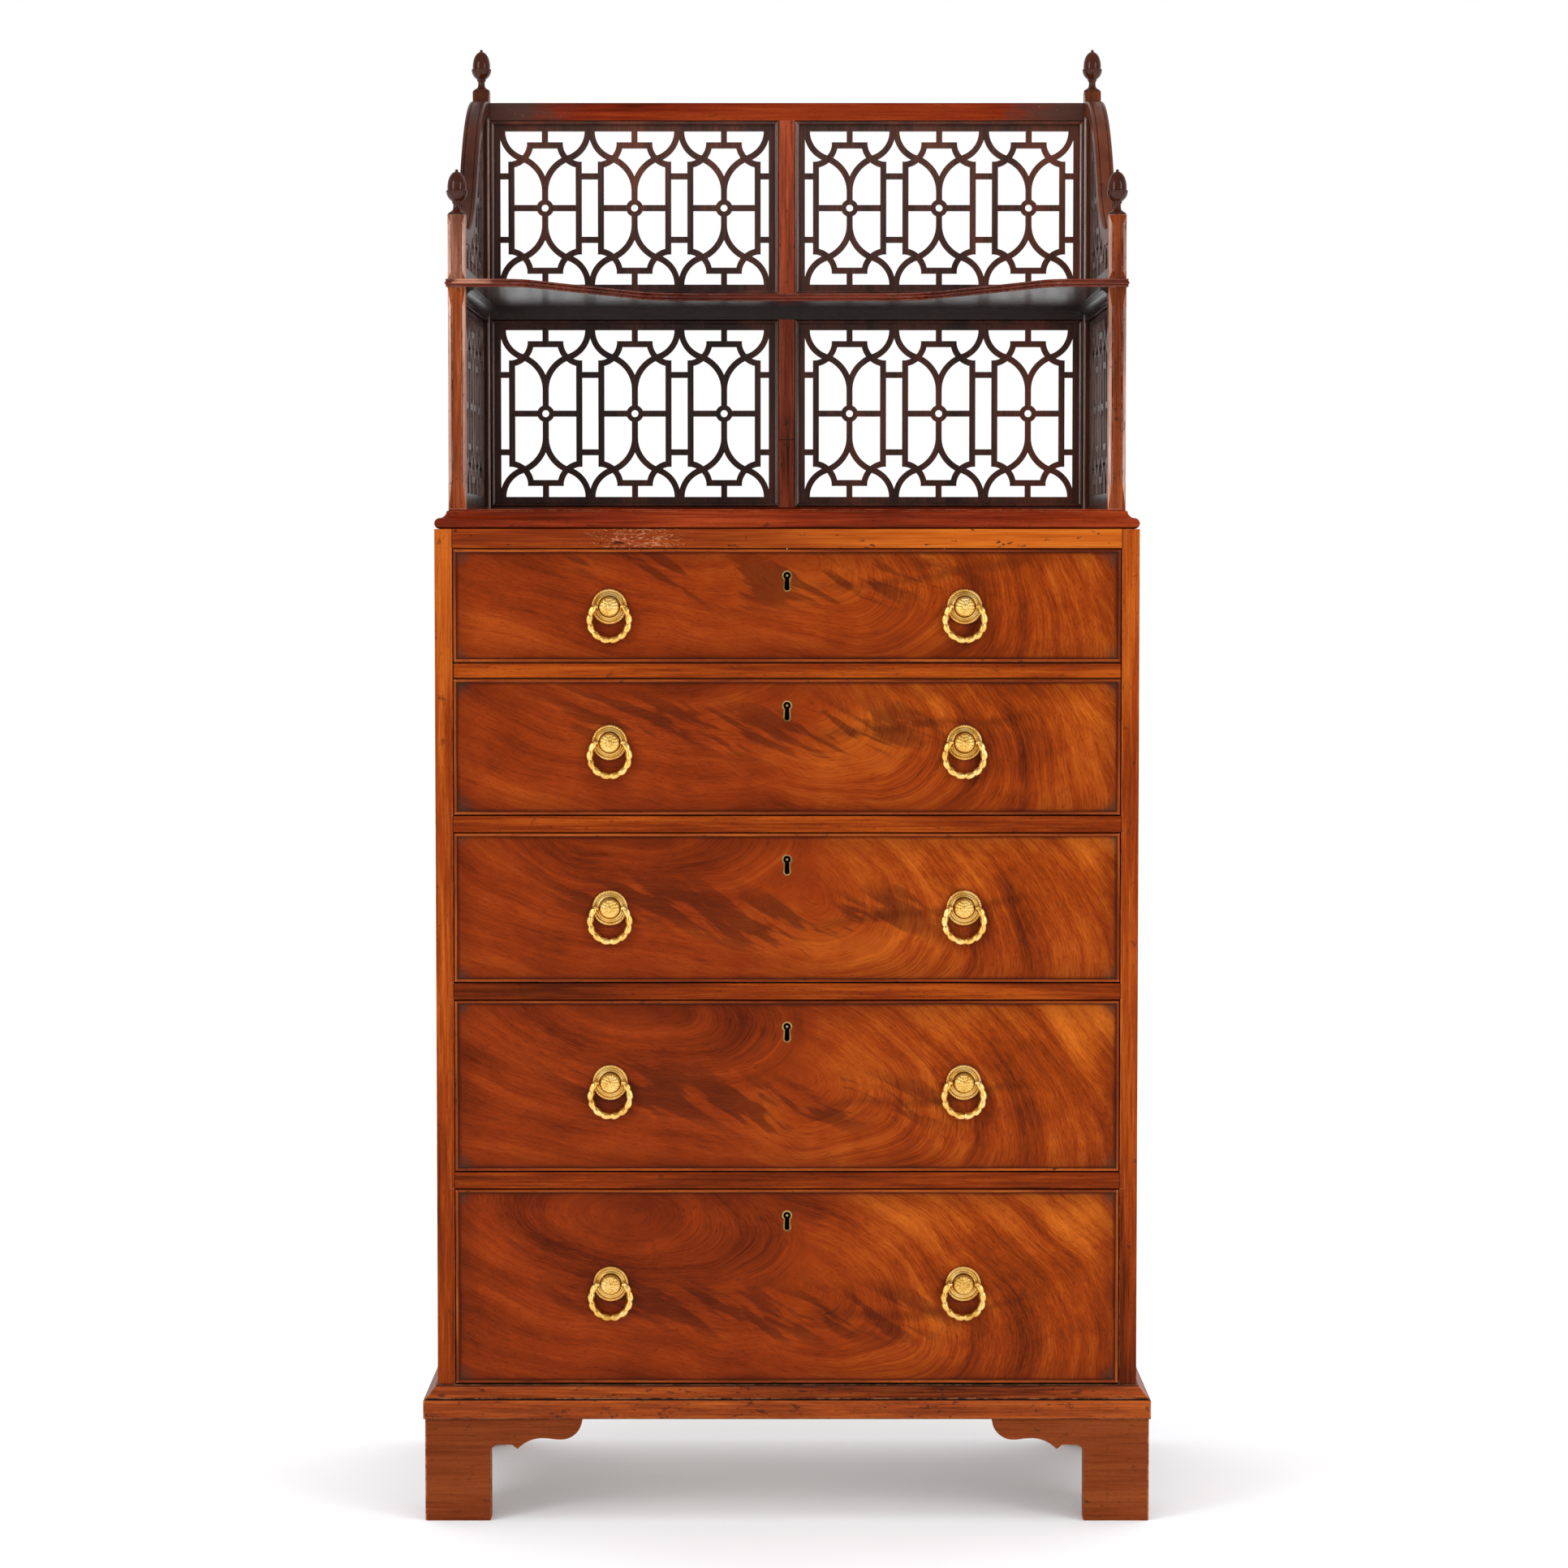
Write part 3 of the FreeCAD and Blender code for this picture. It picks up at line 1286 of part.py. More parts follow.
end_front = front_post_back
end_back = rear_post_front
end_mid = (end_front + end_back) / 2
end_length = end_back - end_front
rail_inner = post_centre_x - side_rail_thickness / 2
rail_outer = post_centre_x + side_rail_thickness / 2
swept_low = (end_front + swept_low_setback, shelf_top + swept_low_height)


def swept_line(offset):
    """Top line of the gallery end, from the front post to the rear post, lowered square to itself."""
    low_radius = swept_low_radius + offset
    low = (swept_low[0], swept_low[1] - offset)
    front = (end_front, low[1] + low_radius - sqrt(low_radius**2 - swept_low_setback**2))
    half_back = swept_low_setback / 2
    middle = (swept_low[0] - half_back, low[1] + low_radius - sqrt(low_radius**2 - half_back**2))
    return [front, (middle, low)] + ogee(low, (end_back, back_top - offset), low_radius)[1:]


def swept_strip(depth, x0, x1):
    """Material under the swept line, down to a depth, between two planes."""
    return prism(swept_line(0) + backwards(swept_line(depth)), on_yz(x0), V(x1 - x0, 0, 0))


def swept_rail():
    """Top rail of an end, with a quirked bead along each upper arris."""
    ends = [step[1] if is_arc(step) else step for step in swept_line(0)]
    on_line = lambda point: any(abs(point.Y - y) + abs(point.Z - z) < mitre_gap for y, z in ends)
    rail = swept_strip(swept_rail_width, post_inner_x, post_outer_x)
    arrises = [edge for edge in rail.Edges
               if edge.BoundBox.XLength < mitre_gap and all(on_line(vertex) for vertex in edge.Vertexes)]
    rail = rail.makeFillet(post_bead_radius, arrises)
    for edge, inward in ((post_inner_x, 1), (post_outer_x, -1)):
        quirk = edge + inward * 2 * post_bead_radius
        rail = rail.cut(swept_strip(post_quirk_depth, *sorted((quirk, quirk + inward * post_quirk))))
    return rail


def end_region(offset, inset):
    """Space under the swept rail, brought in from its edges by inset, as a solid across the fret."""
    path = swept_line(offset) + [(end_back, upper_panel_low + inset), (end_front, upper_panel_low + inset)]
    region = prism(path, on_yz(-fret_thickness), V(3 * fret_thickness, 0, 0))
    return region.common(board(-fret_thickness, 2 * fret_thickness, end_front + inset, end_back - inset,
                               upper_panel_low + inset, back_top))


def end_frets():
    """Lower and upper frets of one end, standing on the YZ plane at the middle of the posts."""
    width = end_length - 2 * fret_border
    lower = fret_panel(width, lower_panel_high - lower_panel_low - 2 * fret_border)
    quarter_turn = (V(0, 0, 0), UP, 90)
    lower.rotate(*quarter_turn)
    lower = placed(lower, post_centre_x + fret_thickness / 2, end_mid,
                   (lower_panel_low + lower_panel_high) / 2)

    height = upper_panel_high - upper_panel_low - 2 * fret_border
    row = [placed(s, 0, 0, 0) for s in fret_field(width, height)]
    for unit in row:
        unit.rotate(*quarter_turn)
        unit.translate(V(fret_thickness, end_mid, (upper_panel_low + upper_panel_high) / 2))
    outer = end_region(swept_rail_width, 0)
    inner = end_region(swept_rail_width + fret_border, fret_border)
    slab = board(0, fret_thickness, end_front, end_back, upper_panel_low, back_top)
    border = outer.cut(inner).common(slab)
    upper = fused([border] + [unit.common(outer) for unit in row])
    upper = placed(upper, post_centre_x - fret_thickness / 2, 0, 0)
    return lower, upper


def end_rail(z0, z1):
    return board(rail_inner, rail_outer, end_front, end_back, z0, z1)


right_end_rails = [end_rail(gallery_floor, lower_panel_low), end_rail(lower_panel_high, shelf_under),
                   end_rail(shelf_top, upper_panel_low), swept_rail()]
save("end_rails", *(right_end_rails + [mirrored(s) for s in right_end_rails]))
right_end_frets = end_frets()
save("end_frets_right", *right_end_frets)
save("end_frets_left", *[mirrored(s) for s in right_end_frets])
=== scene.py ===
"""Looks of a mahogany secretaire chest with a fretted gallery: woods, gilt ornament, light and camera."""
import math

import bpy
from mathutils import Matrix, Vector


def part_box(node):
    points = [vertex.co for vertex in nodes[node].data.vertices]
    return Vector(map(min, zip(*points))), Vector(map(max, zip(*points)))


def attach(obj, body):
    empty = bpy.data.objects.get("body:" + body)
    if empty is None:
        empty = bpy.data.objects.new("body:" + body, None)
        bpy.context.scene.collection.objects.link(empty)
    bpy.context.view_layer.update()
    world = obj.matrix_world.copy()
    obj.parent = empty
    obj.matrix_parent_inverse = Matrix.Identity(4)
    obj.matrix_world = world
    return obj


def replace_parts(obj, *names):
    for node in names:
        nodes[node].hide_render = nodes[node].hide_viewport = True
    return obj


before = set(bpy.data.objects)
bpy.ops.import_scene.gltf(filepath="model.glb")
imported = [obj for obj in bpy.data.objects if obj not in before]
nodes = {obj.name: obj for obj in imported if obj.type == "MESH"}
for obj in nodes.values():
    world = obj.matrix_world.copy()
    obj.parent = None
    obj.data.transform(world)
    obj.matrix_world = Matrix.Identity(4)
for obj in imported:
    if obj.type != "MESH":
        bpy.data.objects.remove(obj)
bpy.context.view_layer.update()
scene = bpy.context.scene

# Places taken from the frame, in metres
FRONT_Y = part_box("side_left")[0].y
HALF_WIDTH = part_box("side_right")[1].x
CASE_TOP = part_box("side_left")[1].z
BASE_LOW, BASE_HIGH = (corner.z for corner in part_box("base_moulding"))
FALL_LOW, FALL_HIGH = (corner.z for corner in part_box("fall_panel"))
FRET_LOW, FRET_HIGH = (corner.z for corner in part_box("back_fret_lower_left"))
FRET_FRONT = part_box("back_fret_lower_left")[0].y
BACK_LEFT, BACK_RIGHT = (corner.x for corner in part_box("carcase_back"))
SHELF_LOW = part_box("shelf")[0].z
POST_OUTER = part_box("front_posts")[1].x

# Sizes of the case and gallery that the frame doesn't give, in metres
STILE_WIDTH = 0.019
VENEER_INSET = 0.0235
BEAD_WIDTH = 0.003
BEAD_REACH = 0.004
TOP_RAIL_HEIGHT = 0.0235
LOWER_DUMMY_HEIGHT = 0.1465
DUMMY_RAIL_HEIGHT = 0.019
BASE_STEP = 0.0216
FRET_BEAD_DEPTH = 0.0045
SHELF_RAIL_HEIGHT = 0.02
MUNTIN_HALF = 0.011
POST_WIDTH = 0.0192
POST_BEAD = 0.0037
KEYHOLE_REACH = 0.007
KEYHOLE_STEP = 0.03
LOCK_DEPTH = 0.018
SURFACE = 0.0003
BACK_BOARDS = 4
REPAIR_SHARE = 0.36

STILE_LINE = HALF_WIDTH - STILE_WIDTH
VENEER_END = HALF_WIDTH - VENEER_INSET
TOP_RAIL_LOW = CASE_TOP - TOP_RAIL_HEIGHT
LOWER_DUMMY_TOP = FALL_LOW + LOWER_DUMMY_HEIGHT
UPPER_DUMMY_LOW = LOWER_DUMMY_TOP + DUMMY_RAIL_HEIGHT
FRET_FACE = FRET_FRONT + FRET_BEAD_DEPTH
POST_INNER = POST_OUTER - POST_WIDTH
BACK_BOARD = (BACK_RIGHT - BACK_LEFT) / BACK_BOARDS
REPAIR = FRET_LOW + REPAIR_SHARE * (FRET_HIGH - FRET_LOW)
X_AXIS, Y_AXIS, Z_AXIS = 0, 1, 2
RECESS_SAMPLES = 6


# Node trees

class Tree:
    """A node tree, with short calls that each return an output socket."""

    def __init__(self, tree):
        self.tree = tree
        tree.nodes.clear()

    def plug(self, socket, value):
        if isinstance(value, bpy.types.NodeSocket):
            self.tree.links.new(value, socket)
        elif value is not None:
            socket.default_value = value

    def node(self, kind, **inputs):
        node = self.tree.nodes.new("ShaderNode" + kind)
        for name, value in inputs.items():
            self.plug(node.inputs[name.replace("_", " ")], value)
        return node

    def math(self, kind, a, b=None, c=None):
        node = self.node("Math")
        node.operation = kind
        for socket, value in zip(node.inputs, (a, b, c)):
            self.plug(socket, value)
        return node.outputs[0]

    def add(self, a, b):
        return self.math("ADD", a, b)

    def less(self, a, b):
        return self.math("SUBTRACT", a, b)

    def times(self, a, b):
        return self.math("MULTIPLY", a, b)

    def times_add(self, a, b, c):
        """a times b, plus c."""
        return self.math("MULTIPLY_ADD", a, b, c)

    def size(self, value):
        """The value without its sign."""
        return self.math("ABSOLUTE", value)

    def between(self, share, a, b):
        """The number a where share is 0 and b where it is 1."""
        return self.times_add(share, self.less(b, a), a)

    def smooth(self, value, low, high):
        """0 below low, 1 above high, with an eased run between."""
        node = self.node("MapRange", Value=value, From_Min=low, From_Max=high)
        node.interpolation_type = "SMOOTHSTEP"
        return node.outputs[0]

    def fade(self, value, low, high):
        """1 below low, 0 above high."""
        return self.less(1.0, self.smooth(value, low, high))

    def length(self, a, b):
        return self.math("SQRT", self.times_add(a, a, self.times(b, b)))

    def split(self, vector):
        return self.node("SeparateXYZ", Vector=vector).outputs

    def join(self, x, y, z):
        return self.node("CombineXYZ", X=x, Y=y, Z=z).outputs[0]

    def stretch(self, vector, scale, shift=(0, 0, 0)):
        return self.node("Mapping", Vector=vector, Scale=scale, Location=shift).outputs[0]

    def noise(self, vector, scale=1.0, detail=3.0, rough=0.55, bend=0.0):
        return self.node("TexNoise", Vector=vector, Scale=scale, Detail=detail, Roughness=rough,
                         Distortion=bend).outputs["Fac"]

    def ramp(self, value, stops, colours):
        node = self.node("ValToRGB", Fac=value)
        band = node.color_ramp
        while len(band.elements) < len(stops):
            band.elements.new(1.0)
        for element, stop, colour in zip(band.elements, stops, colours):
            element.position = stop
            element.color = (*colour, 1)
        return node.outputs[0]

    def blend(self, share, a, b):
        """The colour a where share is 0 and b where it is 1."""
        node = self.node("Mix")
        node.data_type = "RGBA"
        self.plug(node.inputs[0], share)
        for socket, value in zip(node.inputs[6:8], (a, b)):
            self.plug(socket, (*value, 1) if isinstance(value, tuple) else value)
        return node.outputs[2]


class Surface(Tree):
    """A material with one shader, painted in the frame's own coordinates."""

    def __init__(self, name):
        self.material = bpy.data.materials.new(name)
        self.material.use_nodes = True
        super().__init__(self.material.node_tree)
        self.shader = self.node("BsdfPrincipled")
        self.tree.links.new(self.shader.outputs[0], self.node("OutputMaterial").inputs[0])
        self.place = self.node("TexCoord").outputs["Object"]

    def along(self, axis, repeats, shift, fine=1.0):
        """Coordinates for a pattern drawn out on one axis; repeats are in a metre, along and across it."""
        long, across = repeats
        return self.stretch(self.place, tuple(long if n == axis else across * fine for n in range(3)), shift)

    def recess(self, reach, inside=False):
        """1 in corners and quirks, 0 on open faces; inside finds outer arrises in the same way."""
        node = self.node("AmbientOcclusion", Distance=reach)
        node.samples = RECESS_SAMPLES
        node.inside = inside
        return self.less(1.0, node.outputs["AO"])

    def laid(self, mask, share, colour, over):
        """A colour laid over another one, where a mask is 1, by a share."""
        return self.blend(self.times(mask, share), over, colour)

    def bump(self, height, strength, distance):
        node = self.node("Bump", Height=height, Strength=strength, Distance=distance)
        self.tree.links.new(node.outputs[0], self.shader.inputs["Normal"])

    def finish(self, colour, roughness, **others):
        self.plug(self.shader.inputs["Base Color"], colour)
        self.plug(self.shader.inputs["Roughness"], roughness)
        for name, value in others.items():
            self.plug(self.shader.inputs[name.replace("_", " ")], value)
        return self.material


# Colours, as linear red, green and blue

# Laid as dirt in pores, dents and joints, and as painted shade in corners, quirks and under edges
GRIME_AND_SHADE = (0.016, 0.006, 0.003)
CORNER_DIRT = (0.040, 0.022, 0.014)
FEATHER_AND_SHADE = (0.050, 0.008, 0.002)
RAW_WOOD = (0.46, 0.19, 0.12)
RUBBED = (0.58, 0.25, 0.12)
SOIL = (0.070, 0.040, 0.030)
SPECK = (0.36, 0.25, 0.20)
# Rubbed wood on the arrises, also standing in for a painted highlight along them
WORN_AND_HIGHLIGHT = (0.50, 0.19, 0.085)
WORN_PALE_AND_HIGHLIGHT = (0.60, 0.36, 0.27)
BRASS_DIRT = (0.12, 0.044, 0.006)
RED_DARK = (0.080, 0.009, 0.001)
CASE_DARK = (0.075, 0.010, 0.001)
PLUM_DARK = (0.050, 0.006, 0.001)
BROWN_DARK = (0.026, 0.009, 0.006)

# Dark, middle and light tones of each wood, metal and leather
RED_TONES = (RED_DARK, (0.245, 0.030, 0.003), (0.37, 0.062, 0.006))
GOLD_TONES = ((0.075, 0.010, 0.001), (0.29, 0.040, 0.002), (0.57, 0.130, 0.010))
CASE_TONES = (CASE_DARK, (0.24, 0.034, 0.002), (0.45, 0.085, 0.006))
PLUM_TONES = (PLUM_DARK, (0.19, 0.015, 0.002), (0.31, 0.040, 0.006))
STILE_TONES = (CASE_DARK, (0.27, 0.038, 0.003), (0.50, 0.11, 0.010))
RAIL_TONES = (CASE_DARK, (0.205, 0.026, 0.002), (0.40, 0.072, 0.005))
TOP_RAIL_LEFT_TONES = (CASE_DARK, (0.19, 0.024, 0.002), (0.36, 0.062, 0.005))
TOP_RAIL_RIGHT_TONES = ((0.20, 0.026, 0.002), (0.44, 0.085, 0.005), (0.62, 0.165, 0.015))
BASE_TONES = (CASE_DARK, (0.27, 0.045, 0.005), (0.48, 0.105, 0.014))
FOOT_TONES = (CASE_DARK, (0.195, 0.038, 0.008), (0.28, 0.064, 0.014))
BEAD_TONES = (RED_DARK, (0.22, 0.034, 0.004), (0.42, 0.090, 0.010))
MUNTIN_TONES = (PLUM_DARK, (0.36, 0.058, 0.018), (0.52, 0.12, 0.05))
POST_TONES = ((0.065, 0.012, 0.003), (0.22, 0.040, 0.008), (0.46, 0.12, 0.03))
PALE_TONES = ((0.07, 0.020, 0.011), (0.20, 0.065, 0.034), (0.40, 0.17, 0.11))
POST_BEAD_HIGHLIGHT_TONES = ((0.15, 0.050, 0.028), (0.38, 0.17, 0.11), (0.66, 0.40, 0.31))
CORNER_BEAD_HIGHLIGHT_TONES = ((0.15, 0.08, 0.06), (0.36, 0.22, 0.18), (0.64, 0.48, 0.43))
FINIAL_TONES = ((0.015, 0.003, 0.001), (0.054, 0.010, 0.003), (0.12, 0.024, 0.008))
SHELF_TONES = (PLUM_DARK, (0.125, 0.016, 0.005), (0.23, 0.040, 0.014))
NOSE_TONES = (PLUM_DARK, (0.18, 0.016, 0.002), (0.34, 0.046, 0.007))
SWEPT_TONES = (BROWN_DARK, (0.080, 0.016, 0.005), (0.17, 0.038, 0.010))
SHADE_TONES = (BROWN_DARK, (0.026, 0.010, 0.006), (0.045, 0.018, 0.012))
FRET_TONES = (BROWN_DARK, (0.068, 0.022, 0.014), (0.15, 0.038, 0.018))
FRET_BEAD_HIGHLIGHT_TONES = ((0.062, 0.022, 0.015), (0.20, 0.105, 0.080), (0.46, 0.31, 0.26))
END_FRET_SHEEN_TONES = ((0.028, 0.012, 0.009), (0.070, 0.034, 0.027), (0.14, 0.080, 0.066))
LINING_TONES = ((0.17, 0.080, 0.030), (0.34, 0.185, 0.080), (0.46, 0.28, 0.14))
BACK_TONES = ((0.11, 0.038, 0.013), (0.24, 0.092, 0.034), (0.34, 0.155, 0.066))
GILT_TONES = ((0.66, 0.34, 0.06), (0.92, 0.55, 0.14), (1.0, 0.74, 0.30))
OLD_BRASS_TONES = ((0.10, 0.06, 0.02), (0.33, 0.21, 0.07), (0.5, 0.35, 0.13))
LEATHER_TONES = ((0.010, 0.030, 0.014), (0.022, 0.065, 0.030), (0.05, 0.11, 0.05))
KEYHOLE_SHADE_TONES = ((0.001, 0.0008, 0.0006), (0.004, 0.003, 0.002))
FLOOR_TONES = ((0.91, 0.93, 0.95), (0.94, 0.96, 0.98))

# Places of the tones on a colour ramp
GRAIN_STOPS = (0.32, 0.5, 0.68)
TOP_RAIL_STOPS = (0.30, 0.5, 0.68)
RED_STOPS = (0.30, 0.5, 0.70)
GOLD_STOPS = (0.30, 0.5, 0.72)
METAL_STOPS = (0.30, 0.48, 0.68)
LEATHER_STOPS = (0.3, 0.5, 0.7)
PLAIN_STOPS = (0.3, 0.7)

# Patterns of sawn wood: repeats in a metre along the grain and across it
CLOUDS = (2.5, 9.0)
BANDS = (2.2, 40.0)
FIBRES = (14.0, 420.0)
PORES = (130.0, 1600.0)
DENTS = (60.0, 110.0)
TOP_RAIL_BANDS = (1.6, 60.0)
SCRATCHES = (110.0, 520.0)
SPECKS = (70.0, 160.0)
CLOUDY = 0.55

# The veneers' figure: x, and depth below the figure's top, of the middles of its two sets of ovals, with the
# tilt of their long axis in degrees and how flat they are
EYE = ((-0.175, 0.028), 12, 0.42)
HOOKS = ((0.010, 0.106), 25, 0.55)
# The feather's spine, an arch: x and depth of its crown and its curve. Its barbs lean, in degrees
SPINE_MIDDLE, SPINE_DEPTH, SPINE_CURVE = 0.033, 0.139, -0.43
FEATHER_LEAN = 28
# Patterns of the veneers: repeats in a metre across the figure's lines and along them
LEAF_BANDS = (44.0, 4.0)
LEAF_STREAKS = (240.0, 6.0)
LEAF_FIBRES = (1000.0, 60.0)
LEAF_PORES = (1400.0, 150.0)
BARBS = (64.0, 10.0)
# Step from leaf to leaf in the noise
LEAF_STEP = 0.12
BARB_STEP = 0.3
# Tone of each leaf, from the lowest front up, at its left end and from its middle on; the lower leaves are
# darker, painted shade for light that falls off downwards
LEAF_TONES_AND_SHADE = ((0.460, 0.463), (0.482, 0.478), (0.482, 0.505), (0.525, 0.488), (0.530, 0.498))
# How far each leaf is cut below the figure's top, in the same order
LEAF_DROPS = (0.0, 0.0255, 0.0486, 0.0764, 0.1065)


# Woods

def plain_grain(s, axis, shift, fine, cloudy):
    """Tone about 0 of plain sawn wood, from slow bands and fibres, and the fibres alone."""
    cloud = s.less(s.noise(s.along(axis, CLOUDS, shift), detail=3), 0.5)
    bands = s.less(s.noise(s.along(axis, BANDS, shift, fine), detail=4, rough=0.6, bend=0.4), 0.5)
    fibres = s.noise(s.along(axis, FIBRES, shift, fine), detail=3, rough=0.65)
    tone = s.times_add(s.less(fibres, 0.5), 0.45, s.times(bands, 0.65))
    return s.times_add(cloud, cloudy, tone), fibres


def lifted(s, tone, lifts):
    """Adds slow changes to a tone, each an axis, two places on it and the tone added at each."""
    for axis, start, end, first, last in lifts:
        tone = s.add(tone, s.node("MapRange", Value=s.split(s.place)[axis], From_Min=start, From_Max=end,
                                  To_Min=first, To_Max=last).outputs[0])
    return tone


def stile_ends(s, colour):
    """Lays the stiles' upright grain over a rail's housed ends, up to a dark joint at their inner edges."""
    reach = s.size(s.split(s.place)[0])
    tone = s.add(plain_grain(s, Z_AXIS, STILE_SHIFT, 1.0, CLOUDY)[0], 0.5)
    stile = s.ramp(lifted(s, tone, STILE_LIFTS), GRAIN_STOPS, STILE_TONES)
    colour = s.blend(s.smooth(reach, STILE_LINE, STILE_LINE + SURFACE), colour, stile)
    joint = s.fade(s.size(s.less(reach, STILE_LINE)), 0.0003, 0.0011)
    return s.laid(joint, 0.6, GRIME_AND_SHADE, colour)


def straight_grain(name, axis, tones, shift, gloss=0.30, shine=0.05, fine=1.0, marks=0.0, dented=0.0,
                   dust=0.6, figure=1.0, cloudy=CLOUDY, worn=None, soiled_ends=0.0, broken=None, lifts=(),
                   lines=(), over_stiles=False, boards=None):
    """Plain sawn wood: slow bands, fibres and short dark pores on one axis, with dirt and painted shade in
    the corners.
    marks is the share of small dark dents and dented how common they are, figure is how lively the grain is
    and cloudy its slow change, worn is the colour of rubbed arrises, which where it is pale is also a painted
    highlight, soiled_ends the share of grime towards both ends, and broken a stretch of raw wood, as its two
    ends in x and its lower edge. dust is the share of dirt and painted shade in the corners. lifts
    are slow changes of tone, lines are dark lines at given heights, joints or painted shade in quirks and
    under edges, each with its half width and share, and boards is the width and shade of the boards that make
    up a face. over_stiles is for rails whose ends show among the stiles."""
    s = Surface(name)
    x, y, z = s.split(s.place)
    tone, fibres = plain_grain(s, axis, shift, fine, cloudy)
    tone = s.times_add(tone, figure, 0.5)
    pores = s.smooth(s.noise(s.along(axis, PORES, shift), detail=1), 0.60, 0.70)
    tone = lifted(s, tone, lifts)
    if boards:
        wide, shade = boards
        board = s.math("DIVIDE", x, wide)
        each = s.math("SINE", s.times(s.math("FLOOR", board), 2.3))
        tone = s.times_add(each, shade, tone)
    colour = s.ramp(tone, GRAIN_STOPS, tones)
    if boards:
        edge = s.size(s.less(s.math("FRACT", s.add(board, 0.5)), 0.5))
        colour = s.laid(s.fade(edge, 0.004, 0.012), 0.8, GRIME_AND_SHADE, colour)
    colour = s.laid(pores, 0.40, GRIME_AND_SHADE, colour)
    if over_stiles:
        colour = stile_ends(s, colour)
    dents = s.noise(s.along(axis, DENTS, shift), detail=3, rough=0.7)
    if marks:
        colour = s.laid(s.smooth(dents, 0.62 - dented, 0.70 - dented), marks, GRIME_AND_SHADE, colour)
    # Dark lines at given heights: real joints, and painted shade in quirks and under edges
    for height, half, share in lines:
        line = s.fade(s.size(s.less(z, height)), half, half + 0.0008)
        colour = s.laid(line, share, GRIME_AND_SHADE, colour)
    if soiled_ends:
        end = s.smooth(s.times_add(dents, 0.12, s.size(x)), 0.29, 0.385)
        colour = s.laid(end, soiled_ends, SOIL, colour)
        specks = s.smooth(s.noise(s.place, 260.0, detail=2), 0.68, 0.74)
        colour = s.laid(specks, s.times(end, 0.7), SPECK, colour)
    # Dirt and painted shade: darker where the occlusion finds other wood close by, in corners and quirks
    colour = s.laid(s.smooth(s.recess(0.006), 0.30, 0.75), dust, GRIME_AND_SHADE, colour)
    # Rubbed arrises, found from occlusion inside the wood; the pale colours also paint a highlight along them
    if worn:
        rubbed = s.times(s.smooth(s.recess(0.0015, inside=True), 0.22, 0.55), s.smooth(dents, 0.42, 0.60))
        colour = s.laid(rubbed, 0.65, worn, colour)
    if broken:
        start, end, low = broken
        torn = s.times(s.smooth(s.times_add(dents, 0.02, x), start, start + 0.004),
                       s.fade(s.times_add(dents, 0.03, x), end - 0.008, end + 0.012))
        torn = s.times(torn, s.fade(y, -0.08, -0.05))
        colour = s.laid(torn, s.smooth(z, low, low + 0.002), RAW_WOOD, colour)
    s.bump(s.less(fibres, s.times(pores, 0.6)), 0.06 * figure, 0.0003)
    return s.finish(colour, s.times_add(fibres, 0.16, gloss), Specular_IOR_Level=shine)


def top_rail_wood(name, shift, low):
    """The rail over the fronts: red at its left end, golden at its right, rubbed and scratched between, with
    painted shadow along its lower edge.
    """
    s = Surface(name)
    x, _, z = s.split(s.place)
    bands = s.noise(s.along(X_AXIS, TOP_RAIL_BANDS, shift), detail=4, rough=0.6)
    fibres = s.noise(s.along(X_AXIS, FIBRES, shift), detail=3, rough=0.65)
    tone = s.times_add(fibres, 0.45, s.times(bands, 0.55))
    left = s.ramp(tone, TOP_RAIL_STOPS, TOP_RAIL_LEFT_TONES)
    right = s.ramp(tone, TOP_RAIL_STOPS, TOP_RAIL_RIGHT_TONES)
    colour = s.blend(s.smooth(x, -0.14, 0.22), left, right)
    scratches = s.noise(s.along(X_AXIS, SCRATCHES, shift), detail=4, rough=0.75, bend=1.5)
    patch = s.fade(s.size(s.add(x, 0.165)), 0.02, 0.075)
    rubbed = s.smooth(s.times_add(patch, 0.07, scratches), 0.60, 0.66)
    colour = s.laid(rubbed, s.times(patch, 0.75), RUBBED, colour)
    specks = s.noise(s.along(X_AXIS, SPECKS, shift), detail=2)
    colour = s.laid(s.smooth(specks, 0.68, 0.72), 0.8, GRIME_AND_SHADE, colour)
    # Painted shadow along the rail's lower edge, over the gap above the drawer
    colour = s.laid(s.fade(z, low, low + 0.003), 0.5, GRIME_AND_SHADE, colour)
    colour = stile_ends(s, colour)
    s.bump(fibres, 0.08, 0.0003)
    return s.finish(colour, s.times_add(fibres, 0.2, 0.3), Specular_IOR_Level=0.08)


